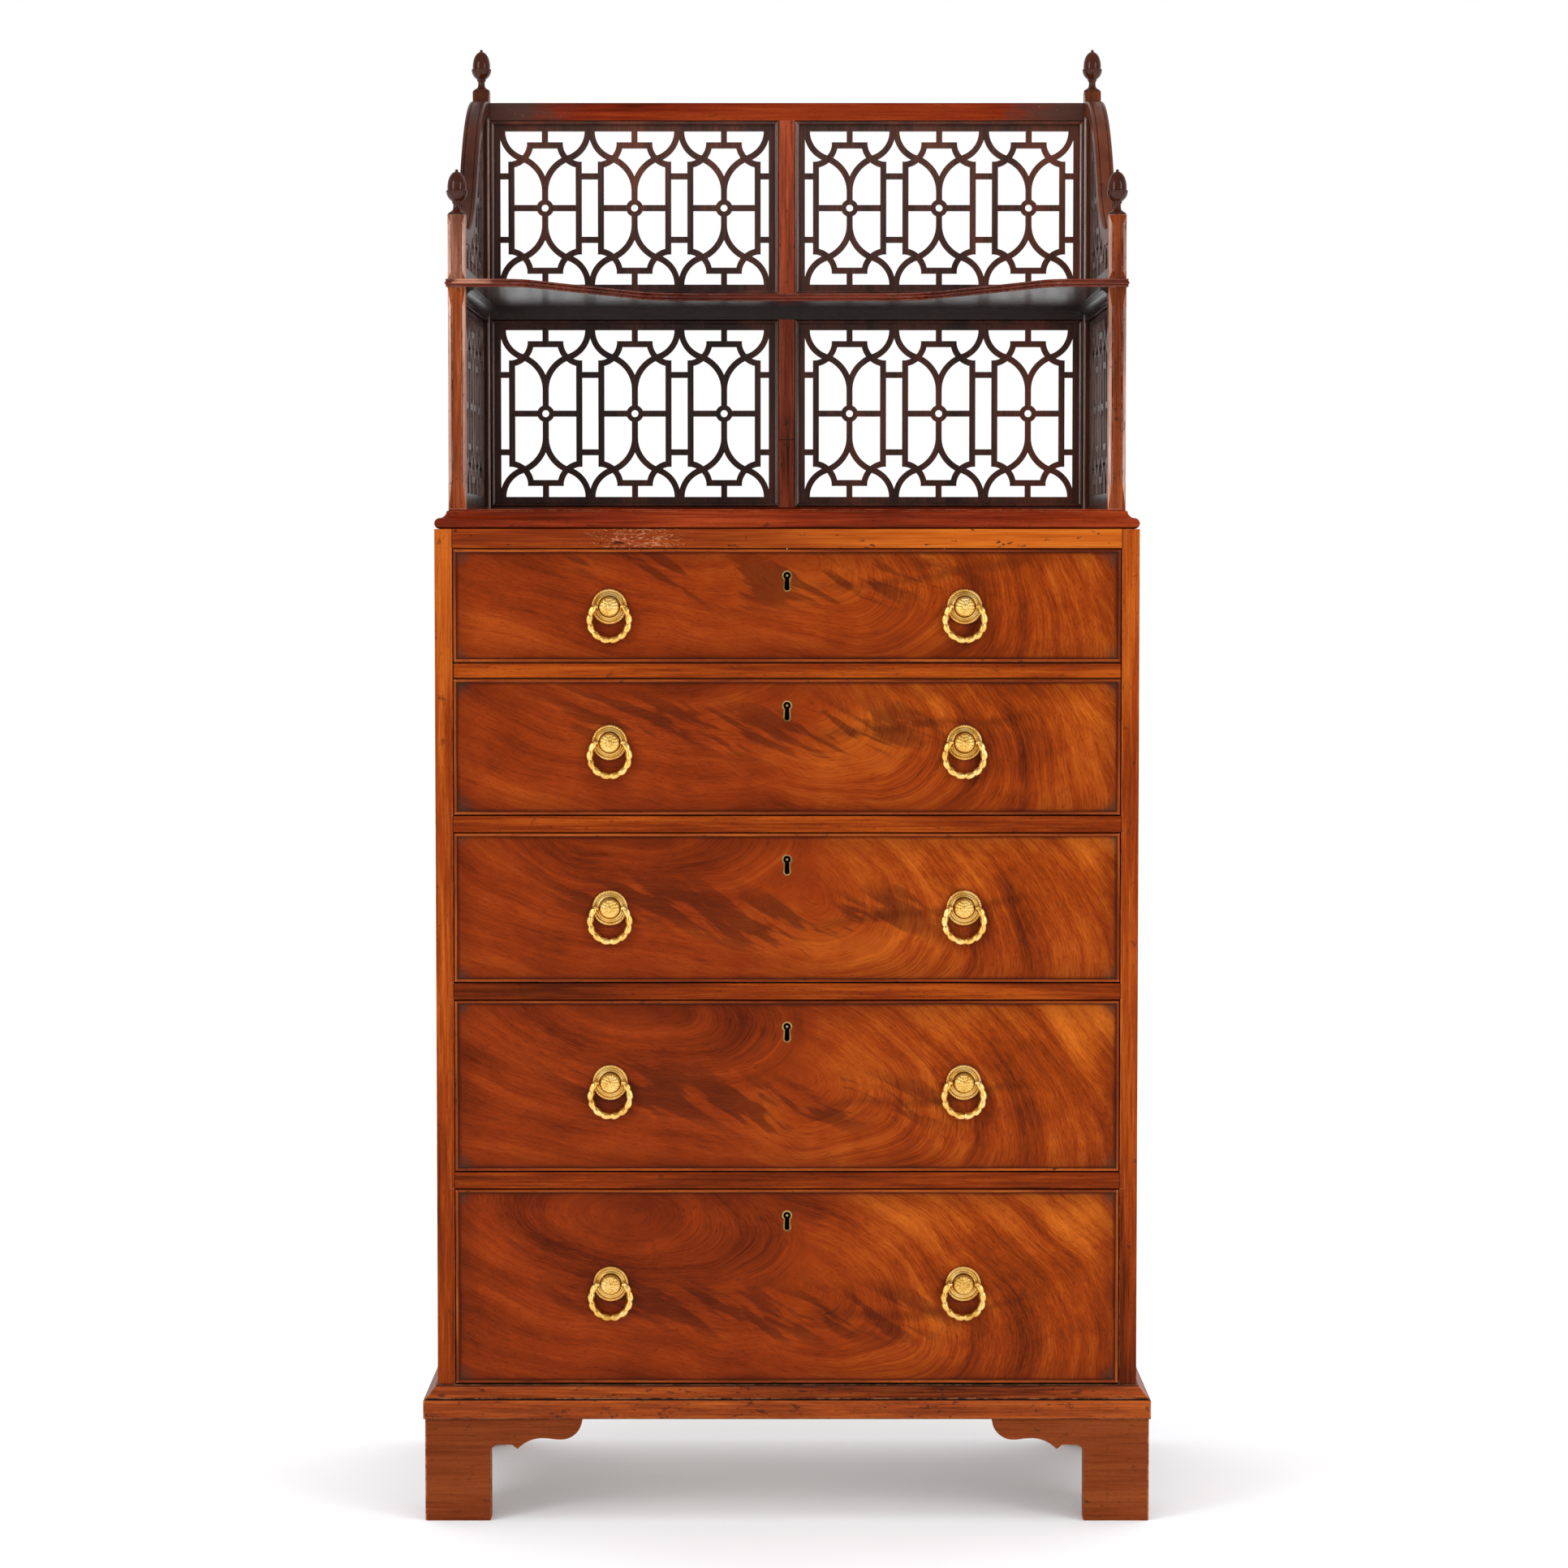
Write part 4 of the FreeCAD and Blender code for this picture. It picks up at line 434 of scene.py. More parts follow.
def figured_veneer(name, low, high, leaf):
    """One leaf of a crotch veneer, between two heights. All leaves share a figure: flat rings round an eye on
    the left, nested hooks on the right, and a dark feather where they meet. leaf counts from the lowest front
    up."""
    s = Surface(name)
    x, _, z = s.split(s.place)
    down = s.less(high + LEAF_DROPS[leaf], z)
    flow = s.join(x, down, LEAF_STEP * leaf)

    def wander(scale, seed):
        return s.less(s.noise(s.stretch(flow, (1, 1, 1), (seed, seed, 0)), scale, detail=1), 0.5)

    def bent(place, seeds):
        """A coordinate with a slow bend and a quick small one."""
        return s.times_add(wander(7.0, seeds[0]), 0.040, s.times_add(wander(45.0, seeds[1]), 0.0022, place))

    u = bent(x, (0.0, 1.3))
    v = bent(down, (2.6, 3.9))

    def nest(centre, tilt, flat):
        """Place across (line) and along (run) nested ovals that are long on a tilted axis."""
        sine, cosine = math.sin(math.radians(tilt)), math.cos(math.radians(tilt))
        du, dv = s.less(u, centre[0]), s.less(v, centre[1])
        a = s.times_add(dv, sine, s.times(du, cosine))
        b = s.times_add(du, -sine, s.times(dv, cosine))
        return s.length(s.times(a, flat), b), s.times_add(b, 0.7, a)

    def drawn(line, run, repeats, depth, **look):
        """Noise drawn out along lines, with its repeats in a metre across and along them."""
        return s.noise(s.join(s.times(line, repeats[0]), s.times(run, repeats[1]), depth), **look)

    def grain(line, run, seed):
        """Tone about 0, from slow bands, streaks and fibres, and the fibres alone."""
        depth = seed + LEAF_STEP * leaf
        bands = drawn(line, run, LEAF_BANDS, depth, detail=2, rough=0.5)
        streaks = drawn(line, run, LEAF_STREAKS, depth, detail=3, rough=0.6)
        fibres = drawn(line, run, LEAF_FIBRES, depth, detail=2)
        tone = s.times_add(s.less(streaks, 0.5), 0.34, s.times(s.less(bands, 0.5), 0.66))
        return s.times_add(s.less(fibres, 0.5), 0.40, tone), fibres

    # Tone of the rings and the hooks, lighter at the crest and darker below the spine
    eye_line, eye_run = nest(*EYE)
    hook_line, hook_run = nest(*HOOKS)
    eye_tone, eye_fibres = grain(eye_line, eye_run, 0.0)
    hook_tone, hook_fibres = grain(hook_line, hook_run, 5.0)
    inside = s.fade(eye_line, 0.070, 0.094)
    eye_tone = s.times(eye_tone, s.between(s.smooth(eye_line, 0.0, 0.055), 0.28, 0.62))
    eye_tone = s.times_add(inside, -0.06, eye_tone)
    hook_tone = s.times(hook_tone, s.between(s.smooth(hook_line, 0.02, 0.08), 0.35, 0.80))
    right = s.times(s.smooth(u, -0.09, 0.04), s.less(1.0, inside))
    cloud = s.less(s.noise(flow, 11.0, detail=4, rough=0.6), 0.5)
    tone = s.times_add(cloud, 0.34, s.between(right, eye_tone, hook_tone))
    crest = s.times(s.fade(v, 0.02, 0.10), s.smooth(u, 0.0, 0.10))
    tone = s.times_add(crest, 0.085, s.times_add(right, 0.025, tone))
    off_centre = s.less(u, SPINE_MIDDLE)
    spine = s.times_add(s.times(off_centre, off_centre), SPINE_CURVE, SPINE_DEPTH)
    below = s.smooth(s.less(v, spine), -0.01, 0.06)
    tone = s.times_add(s.times(below, right), -0.015, tone)
    # Each leaf's own tone, with painted shade that darkens the lower leaves
    tone = s.add(tone, s.between(s.smooth(u, -0.20, -0.04), *LEAF_TONES_AND_SHADE[leaf]))
    fibres = s.between(right, eye_fibres, hook_fibres)
    red = s.ramp(tone, RED_STOPS, RED_TONES)
    gold = s.ramp(tone, GOLD_STOPS, GOLD_TONES)
    golden = s.smooth(s.times_add(cloud, 0.3, u), -0.12, 0.24)
    colour = s.blend(s.times(golden, s.between(below, 1.0, 0.62)), red, gold)

    # Dark feather: barbs that cross the spine, and the spine's own line on the right
    off = s.size(s.less(v, spine))
    sine, cosine = math.sin(math.radians(FEATHER_LEAN)), math.cos(math.radians(FEATHER_LEAN))
    across = s.times_add(u, sine, s.times(v, -cosine))
    along = s.times_add(u, cosine, s.times(v, sine))
    barbs = drawn(across, along, BARBS, BARB_STEP * leaf, detail=3, rough=0.55)
    reach = s.times(s.smooth(u, -0.31, -0.20), s.fade(u, 0.09, 0.26))
    feather = s.times(s.smooth(barbs, 0.48, 0.57), s.times(reach, s.fade(off, 0.010, 0.045)))
    colour = s.laid(feather, 0.61, FEATHER_AND_SHADE, colour)
    vein = s.times(s.fade(off, 0.0, 0.009), s.times(s.smooth(u, 0.0, 0.06), s.fade(u, 0.22, 0.30)))
    colour = s.laid(vein, 0.35, FEATHER_AND_SHADE, colour)

    # Pores, old scratches, dirt along the beads, and painted shade round the handles and beside the beads
    pores = drawn(s.between(right, eye_line, hook_line), s.between(right, eye_run, hook_run), LEAF_PORES,
                  leaf, detail=1)
    colour = s.laid(s.smooth(pores, 0.60, 0.70), 0.45, GRIME_AND_SHADE, colour)
    scratch = s.noise(s.stretch(s.place, (34.0, 1, 75.0), (leaf, 0, 0)), detail=3, rough=0.7, bend=2.5)
    hair = s.fade(s.size(s.less(scratch, 0.36)), 0.0, 0.004)
    colour = s.laid(hair, 0.35, GRIME_AND_SHADE, colour)
    edge_x = s.less(VENEER_END, s.size(x))
    edge_z = s.less((high - low) / 2 - BEAD_WIDTH, s.size(s.less(z, (low + high) / 2)))
    edge = s.times_add(cloud, 0.005, s.math("MINIMUM", edge_x, edge_z))
    colour = s.laid(s.fade(edge, 0.0, 0.0045), 0.75, GRIME_AND_SHADE, colour)
    colour = s.laid(s.fade(edge, 0.0, 0.032), 0.36, RED_DARK, colour)
    corner = s.fade(s.times_add(cloud, 0.02, s.length(edge_x, edge_z)), 0.003, 0.022)
    colour = s.laid(corner, 0.62, CORNER_DIRT, colour)
    # Painted shade round the handles and beside the beads, where the occlusion finds metal or wood near the
    # face
    colour = s.laid(s.smooth(s.recess(0.020), 0.10, 0.60), 0.60, FEATHER_AND_SHADE, colour)
    s.bump(fibres, 0.04, 0.0002)
    return s.finish(colour, s.times_add(fibres, 0.12, 0.26), Specular_IOR_Level=0.05)


# Metal, leather and the painted shade inside the locks

def keyhole_shade(name):
    """Painted shade for the inside of a lock: near black, standing in for the dark of the hole."""
    s = Surface(name)
    shade_noise = s.noise(s.place, 500.0, detail=2)
    return s.finish(s.ramp(shade_noise, PLAIN_STOPS, KEYHOLE_SHADE_TONES), 0.8, Specular_IOR_Level=0.02)


def metal(name, tones, roughness, scale, dirt):
    """Brass that is bright on its high places and dirty in its hollows."""
    s = Surface(name)
    patches = s.noise(s.place, scale, detail=4, rough=0.6)
    colour = s.ramp(patches, METAL_STOPS, tones)
    colour = s.laid(s.smooth(s.recess(0.0026), 0.22, 0.62), dirt, BRASS_DIRT, colour)
    s.bump(s.noise(s.place, scale * 9, detail=3, rough=0.6), 0.4, 0.0005)
    return s.finish(colour, s.times_add(patches, 0.2, roughness), Metallic=1.0)


def leather(name):
    """Old green hide, worn in patches."""
    s = Surface(name)
    grain = s.noise(s.place, 900.0, detail=3, rough=0.6)
    worn = s.noise(s.place, 12.0, detail=4, rough=0.6)
    colour = s.ramp(s.times_add(grain, 0.3, s.times(worn, 0.7)), LEATHER_STOPS, LEATHER_TONES)
    s.bump(grain, 0.35, 0.0004)
    return s.finish(colour, s.times_add(worn, 0.3, 0.4))


# The materials

STILE_SHIFT = (0.3, 0.1, 0.7)
STILE_LIFTS = ((X_AXIS, -0.37, 0.37, 0.06, 0.0), (Z_AXIS, 0.15, 0.60, -0.10, 0.0))
RAIL_SHIFT = (0.9, 0.4, 0.2)
RAIL_LIFTS = ((Z_AXIS, 0.67, 0.92, -0.04, 0.06),)
GALLERY_LIFTS = ((X_AXIS, -0.1, 0.2, 0.02, 0.085),)
SWEPT_LIFTS = ((X_AXIS, -0.3, 0.3, -0.05, 0.06),)
BASE_LIFTS = ((Z_AXIS, BASE_LOW + 0.019, BASE_LOW + 0.024, 0.06, -0.055),)
# Painted shade on the base: dark lines along its lower edge, in its quirk and under its top edge
BASE_SHADE_LINES = ((BASE_LOW, 0.0006, 0.7), (BASE_LOW + BASE_STEP, 0.0010, 0.9), (BASE_HIGH - 0.0008, 0.0010, 0.8))
REPAIR_LINE = ((REPAIR, 0.0003, 0.8),)
BROKEN_SHELF = (-0.352, -0.312, SHELF_LOW + 0.003)

case_upright = straight_grain("case_upright", Z_AXIS, STILE_TONES, STILE_SHIFT, marks=0.5, dust=1.0,
                              worn=WORN_AND_HIGHLIGHT, lifts=STILE_LIFTS)
side_wood = straight_grain("side_wood", Z_AXIS, CASE_TONES, (0.8, 0.5, 1.1), marks=0.4, cloudy=0.15,
                           figure=0.9)
rail_level, front_rail = (
    straight_grain(name, X_AXIS, RAIL_TONES, RAIL_SHIFT, marks=0.4, dust=1.0, lifts=RAIL_LIFTS,
                   over_stiles=over_stiles)
    for name, over_stiles in (("rail_level", False), ("front_rail", True)))
base_wood, base_end_wood = (
    straight_grain(name, axis, BASE_TONES, (0.7, 1.4, 0.5), marks=0.6, dented=0.03, shine=0.10, worn=WORN_AND_HIGHLIGHT,
                   dust=0.9, lifts=BASE_LIFTS, lines=BASE_SHADE_LINES)
    for name, axis in (("base_wood", X_AXIS), ("base_end_wood", Y_AXIS)))
foot_wood, foot_end_wood = (
    straight_grain(name, axis, FOOT_TONES, (0.1, 0.8, 0.3), gloss=0.42, marks=0.5, figure=0.7, worn=WORN_AND_HIGHLIGHT)
    for name, axis in (("foot_wood", X_AXIS), ("foot_end_wood", Y_AXIS)))
bead_level, bead_upright = (
    straight_grain(name, axis, BEAD_TONES, shift, marks=0.8, shine=0.10, dust=0.9, worn=WORN_AND_HIGHLIGHT)
    for name, axis, shift in (("bead_level", X_AXIS, (0.2, 0.5, 1.2)),
                              ("bead_upright", Z_AXIS, (1.2, 0.5, 0.2))))
gallery_rail = straight_grain("gallery_rail", X_AXIS, PLUM_TONES, (0.2, 0.6, 0.8), shine=0.08, gloss=0.22,
                              marks=0.4, soiled_ends=0.85, worn=SOIL, lifts=GALLERY_LIFTS)
nose_wood, nose_end_wood = (
    straight_grain(name, axis, NOSE_TONES, (0.6, 1.6, 0.4), shine=0.08, gloss=0.2, marks=0.6, worn=WORN_AND_HIGHLIGHT,
                   dust=0.9)
    for name, axis in (("nose_wood", X_AXIS), ("nose_end_wood", Y_AXIS)))
shelf_wood = straight_grain("shelf_wood", X_AXIS, SHELF_TONES, (0.1, 0.2, 1.8), shine=0.3, gloss=0.2,
                            marks=0.5, worn=WORN_PALE_AND_HIGHLIGHT, dust=0.9, broken=BROKEN_SHELF)
muntin_wood = straight_grain("muntin_wood", Z_AXIS, MUNTIN_TONES, (0.5, 0.9, 0.1), shine=0.2, gloss=0.22,
                             marks=0.6, lines=REPAIR_LINE)
swept_wood, rear_post_wood = (
    straight_grain(name, axis, SWEPT_TONES, (1.5, 0.2, 0.6), shine=0.18, gloss=0.25, marks=0.5, figure=0.5,
                   lifts=SWEPT_LIFTS)
    for name, axis in (("swept_wood", Y_AXIS), ("rear_post_wood", Z_AXIS)))
post_wood = straight_grain("post_wood", Z_AXIS, POST_TONES, (0.6, 0.1, 0.9), shine=0.15, gloss=0.2, marks=0.7,
                           worn=WORN_PALE_AND_HIGHLIGHT, dust=0.5)
pale_post = straight_grain("pale_post", Z_AXIS, PALE_TONES, (0.6, 0.1, 0.9), shine=0.2, gloss=0.2, marks=0.8,
                           worn=WORN_PALE_AND_HIGHLIGHT, dust=0.5)
# Pale, glossy beads on the front posts' arrises: worn, and a painted highlight
post_bead = straight_grain("post_bead", Z_AXIS, POST_BEAD_HIGHLIGHT_TONES, (0.2, 0.4, 0.9), shine=0.6, gloss=0.16,
                           marks=0.6)
# Painted highlight: pale tones on the rear posts' beads, lighter than the wood round them
corner_bead = straight_grain("corner_bead", Z_AXIS, CORNER_BEAD_HIGHLIGHT_TONES, (0.4, 0.7, 0.4), shine=0.9, gloss=0.16)
finial_wood = straight_grain("finial_wood", Z_AXIS, FINIAL_TONES, (1.1, 0.3, 0.4), shine=0.28, gloss=0.08,
                             fine=0.3, figure=0.5)
fret_wood = straight_grain("fret_wood", Z_AXIS, FRET_TONES, (0.8, 0.3, 0.4), shine=0.3, gloss=0.28,
                           cloudy=0.9)
# Painted highlight: pale tones on the beads round the back frets, with worn arrises
fret_bead = straight_grain("fret_bead", Z_AXIS, FRET_BEAD_HIGHLIGHT_TONES, (0.4, 0.7, 0.4), shine=0.9, gloss=0.16,
                           worn=WORN_PALE_AND_HIGHLIGHT)
# The end frets' greyer, lighter tones: their wood, and partly a painted sheen
end_fret_wood = straight_grain("end_fret_wood", Z_AXIS, END_FRET_SHEEN_TONES, (0.3, 0.3, 1.4), shine=0.7, gloss=0.2)
shade_wood = straight_grain("shade_wood", X_AXIS, SHADE_TONES, (0.9, 0.7, 0.1), shine=0.5, gloss=0.14)
lining_wood = straight_grain("lining_wood", Y_AXIS, LINING_TONES, (0.6, 0.2, 0.5), gloss=0.6, fine=0.8,
                             cloudy=0.2, figure=0.8)
back_wood = straight_grain("back_wood", Z_AXIS, BACK_TONES, (0.4, 0.4, 0.9), gloss=0.65, fine=0.8, cloudy=0.2,
                           marks=0.4, boards=(BACK_BOARD, 0.05))
top_rail = top_rail_wood("top_rail", (0.3, 0.9, 0.6), TOP_RAIL_LOW)
lock_hole = keyhole_shade("lock_hole")
gilt = metal("gilt", GILT_TONES, 0.22, 60.0, 0.9)
old_brass = metal("old_brass", OLD_BRASS_TONES, 0.3, 90.0, 0.6)
green_leather = leather("green_leather")


# Materials on the CAD nodes

BRASS_NODES = ("fall_stays", "fall_fittings")
LINING_NODES = ("dust_boards", "drawer_stops", "carcase_top", "carcase_bottom")
# The fronts from the lowest up: drawers, and the fall's dummy fronts with their heights
DRAWERS = ("lower_drawer", "middle_drawer", "upper_drawer")
DUMMIES = (("lower_dummy", FALL_LOW, LOWER_DUMMY_TOP), ("upper_dummy", UPPER_DUMMY_LOW, FALL_HIGH))


def dress(name, *materials, rule=None):
    """Gives a CAD node its materials; rule picks one of them, by its number, for each face."""
    mesh = nodes[name].data
    mesh.materials.clear()
    for material in materials:
        mesh.materials.append(material)
    for face in mesh.polygons:
        face.material_index = int(rule(face)) if rule else 0


def on_front(face):
    return face.normal.y < -0.99 and abs(face.center.y - FRONT_Y) < SURFACE


def keyholes(node):
    """Low and high ends of the keyhole plates in a node of brasses, which lie on the chest's middle line."""
    heights = sorted(v.co.z for v in nodes[node].data.vertices if abs(v.co.x) < KEYHOLE_REACH)
    breaks = [n for n in range(1, len(heights)) if heights[n] - heights[n - 1] > KEYHOLE_STEP]
    return [(heights[a], heights[b - 1]) for a, b in zip([0] + breaks, breaks + [len(heights)])]


def dress_front(name, *veneers):
    """A front: veneers on its face, each a (material, low, high) band of heights, beads round it and plain
    wood behind."""
    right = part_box(name)[1].x
    holes = keyholes(name.replace("_front", "").replace("_panel", "") + "_brasses")
    woods = [rail_level, bead_level, bead_upright, lock_hole] + [veneer for veneer, _, _ in veneers]

    def wood(face):
        # Faces inside a keyhole get painted shade
        if any(a < face.center.z < b for a, b in holes) and abs(face.center.x) < KEYHOLE_REACH and (
                FRONT_Y + SURFACE < face.center.y < FRONT_Y + LOCK_DEPTH):
            return lock_hole
        if on_front(face):
            return next((veneer for veneer, a, b in veneers if a < face.center.z < b), rail_level)
        if face.center.y < FRONT_Y + SURFACE:
            return bead_upright if abs(face.center.x) > right - BEAD_REACH else bead_level
        return rail_level

    dress(name, *woods, rule=lambda face: woods.index(wood(face)))


def back_rail_wood(face):
    """Muntins have upright grain, and the rail under the shelf is dark."""
    if abs(face.center.x) < MUNTIN_HALF:
        return 1
    return 2 if SHELF_LOW - SHELF_RAIL_HEIGHT < face.center.z < SHELF_LOW else 0


def to_side(face):
    """Faces whose grain runs from front to back."""
    return abs(face.normal.x) > 0.6 and abs(face.normal.x) > abs(face.normal.y)


def slim(node, face):
    """Whether a face is no wider than a bead."""
    places = [nodes[node].data.vertices[v].co.x for v in face.vertices]
    return max(places) - min(places) < POST_BEAD


def front_post_wood(face):
    """Worn beads on the arrises, whose pale tones also paint a highlight on them, and pale wood on the left
    post over the shelf.
    """
    across = abs(face.center.x)
    if face.normal.y < -0.05 and slim("front_posts", face) and (
            min(across - POST_INNER, POST_OUTER - across) < POST_BEAD):
        return 2
    return int(face.center.x < 0 and face.center.z > SHELF_LOW)


def rear_post_bead(face):
    """The rounded bead on each post's inner arris, seen past the ends of the fret, in pale tones that paint a
    highlight on it.
    """
    return face.normal.y < -0.05 and slim("rear_posts", face) and abs(face.center.x) - POST_INNER < POST_BEAD


for name in nodes:
    if "brasses" in name:
        dress(name, gilt, old_brass, rule=lambda face: abs(face.center.x) < 2 * KEYHOLE_REACH)
    elif "ring" in name:
        dress(name, gilt)
    elif name in BRASS_NODES:
        dress(name, old_brass)
    elif "leather" in name:
        dress(name, green_leather)
    elif name.endswith("_box") or name in LINING_NODES:
        dress(name, lining_wood)
    elif name == "carcase_back":
        dress(name, back_wood)
    elif name == "front_rails":
        dress(name, front_rail, top_rail, rule=lambda face: face.center.z > TOP_RAIL_LOW)
    # The back frets, with a painted highlight on their beads
    elif name.startswith("back_fret"):
        dress(name, fret_wood, fret_bead,
              rule=lambda face: face.center.y < FRET_FACE and abs(face.normal.x) > 0.25)
    elif "fret" in name:
        dress(name, end_fret_wood)
    elif name == "back_rails":
        dress(name, gallery_rail, muntin_wood, shade_wood, rule=back_rail_wood)
    elif name.startswith("foot"):
        dress(name, foot_wood, foot_end_wood, rule=to_side)
    elif name.startswith("side"):
        dress(name, case_upright, side_wood, rule=lambda face: abs(face.normal.x) > 0.9)
    elif name == "base_moulding":
        dress(name, base_wood, base_end_wood, rule=to_side)
    elif name == "gallery_base":
        dress(name, nose_wood, nose_end_wood, rule=to_side)
    elif name == "shelf":
        dress(name, shelf_wood, shade_wood, rule=lambda face: face.normal.z < -0.9)
    elif name == "end_rails":
        dress(name, swept_wood)
    elif name == "shelf_coves":
        dress(name, shade_wood)
    elif name == "front_posts":
        dress(name, post_wood, pale_post, post_bead, rule=front_post_wood)
    elif name == "rear_posts":
        dress(name, rear_post_wood, corner_bead, rule=rear_post_bead)
    elif name == "finials":
        dress(name, finial_wood)
    else:
        dress(name, rail_level)

for leaf, name in enumerate(DRAWERS):
    low, high = (corner.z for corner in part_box(name + "_front"))
    dress_front(name + "_front", (figured_veneer("veneer_" + name, low, high, leaf), low, high))
dress_front("fall_panel", *((figured_veneer("veneer_" + name, low, high, leaf), low, high)
                            for leaf, (name, low, high) in enumerate(DUMMIES, len(DRAWERS))))


# Gilt ornament of the handles, in metres

GADROONS = 40
GADROON_RADIUS = 0.0176
GADROON_HEIGHT = 0.0024
GADROON_LONG, GADROON_WIDE, GADROON_THICK = 0.0018, 0.00125, 0.0017
GADROON_LEAN = 0.055
GADROON_ROWS, GADROON_POINTS = 6, 8
ROSETTE_RADIUS = 0.0108
ROSETTE_ROWS, ROSETTE_POINTS = 26, 126
ROSETTE_SKIRT = 0.002
BOSS_WALL = 0.0110
BOSS_HEIGHT = 0.0145
BOSS_CURVE = 2.2
LEAVES = 14
PETALS = 9
LEAF_RISE, PETAL_RISE, BUTTON_RISE, ROSETTE_RISE = 0.0014, 0.0013, 0.0013, 0.0002
BUTTON_SHARE = 0.26
RING_OUTER = 0.0252
RING_TUBE = 0.0040
RING_RADIUS = RING_OUTER - RING_TUBE
RING_DROP = 0.015
RING_BALL = 0.0032
RING_PIVOT = 0.008
RING_POINTS = 24
HUSKS = 10
HUSK_ROWS = 14
HUSK_WAIST = 0.68
HUSK_FLARE, HUSK_TIP = 0.66, 0.72
TIP_TAPER, HUSK_GROOVE, LOBE_REACH = 0.20, 0.20, 0.14
STUB_RADIUS = 0.0025
STUB_END = 0.0110
STUB_POINTS = 16
# Place beyond the ring's end and size of each row of a stub, whose last row stands at STUB_END
STUB_ROWS = ((0.00288, 0.6), (0.00216, 1.1), (0.00108, 1.28), (0.0, 1.1), (-0.0014, 0.9))
STUB_LAST = 0.85


class Relief:
    """Vertices and faces collected for one mesh object."""

    def __init__(self):
        self.points = []
        self.faces = []

    def skin(self, rows):
        """A closed skin: rows of points that run round, all of one length, with its two ends filled."""
        first = len(self.points)
        width = len(rows[0])
        last = first + (len(rows) - 1) * width
        for row in rows:
            self.points += row
        for start in range(first, last, width):
            for k in range(width):
                a, b = start + k, start + (k + 1) % width
                self.faces.append((a, b, b + width, a + width))
        self.faces.append(tuple(range(first, first + width))[::-1])
        self.faces.append(tuple(range(last, last + width)))

    def build(self, name, body, material):
        mesh = bpy.data.meshes.new(name)
        mesh.from_pydata(self.points, [], self.faces)
        mesh.materials.append(material)
        mesh.shade_smooth()
        piece = bpy.data.objects.new(name, mesh)
        scene.collection.objects.link(piece)
        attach(piece, body)
        return piece


def circle(count):
    return [2 * math.pi * n / count for n in range(count)]


def out_from(centre, radius, angle, height):
    """A point beside a handle's centre, at a radius and angle on the front and a height off it."""
    return (centre[0] + radius * math.cos(angle), FRONT_Y - height, centre[1] + radius * math.sin(angle))


def hump(value, low, high):
    """A full rounded bump of height 1 between low and high."""
    return math.sin(math.pi * min(max((value - low) / (high - low), 0), 1)) ** 0.6


def gadroon(relief, centre, angle):
    """One short rounded lobe of a plate's roped rim, leaning off the radius."""
    rows = []
    for n in range(GADROON_ROWS + 1):
        lean = math.pi * (n / GADROON_ROWS - 0.5)
        swell = max(math.cos(lean), 0.05)
        row = []
        for turn in circle(GADROON_POINTS):
            radius = GADROON_RADIUS + GADROON_LONG * math.sin(lean)
            shift = GADROON_WIDE * swell * math.cos(turn) / GADROON_RADIUS + GADROON_LEAN * math.sin(lean)
            row.append(out_from(centre, radius, angle + shift,
                                GADROON_HEIGHT + GADROON_THICK * swell * math.sin(turn)))
        rows.append(row)
    relief.skin(rows)


def rosette(relief, centre):
    """Leaf tips round the edge, petals inside them and a button in a hollow, laid over the boss."""
    rows = []
    for n in range(ROSETTE_ROWS + 1):
        share = 1 - n / ROSETTE_ROWS
        radius = max(ROSETTE_RADIUS * share, 0.00012)
        dome = BOSS_HEIGHT - (BOSS_HEIGHT - BOSS_WALL) * share**BOSS_CURVE
        button = math.sqrt(max(1 - (share / BUTTON_SHARE) ** 2, 0))
        row = []
        for turn in circle(ROSETTE_POINTS):
            leaf = abs(math.cos(LEAVES / 2 * turn)) ** 0.6 * hump(share, 0.60, 1.02)
            petal = abs(math.cos(PETALS / 2 * turn + 0.4)) ** 0.6 * hump(share, 0.30, 0.66)
            lift = ROSETTE_RISE + LEAF_RISE * leaf + PETAL_RISE * petal + BUTTON_RISE * button
            row.append(out_from(centre, radius, turn, dome + lift - (ROSETTE_SKIRT if n == 0 else 0)))
        rows.append(row)
    relief.skin(rows)


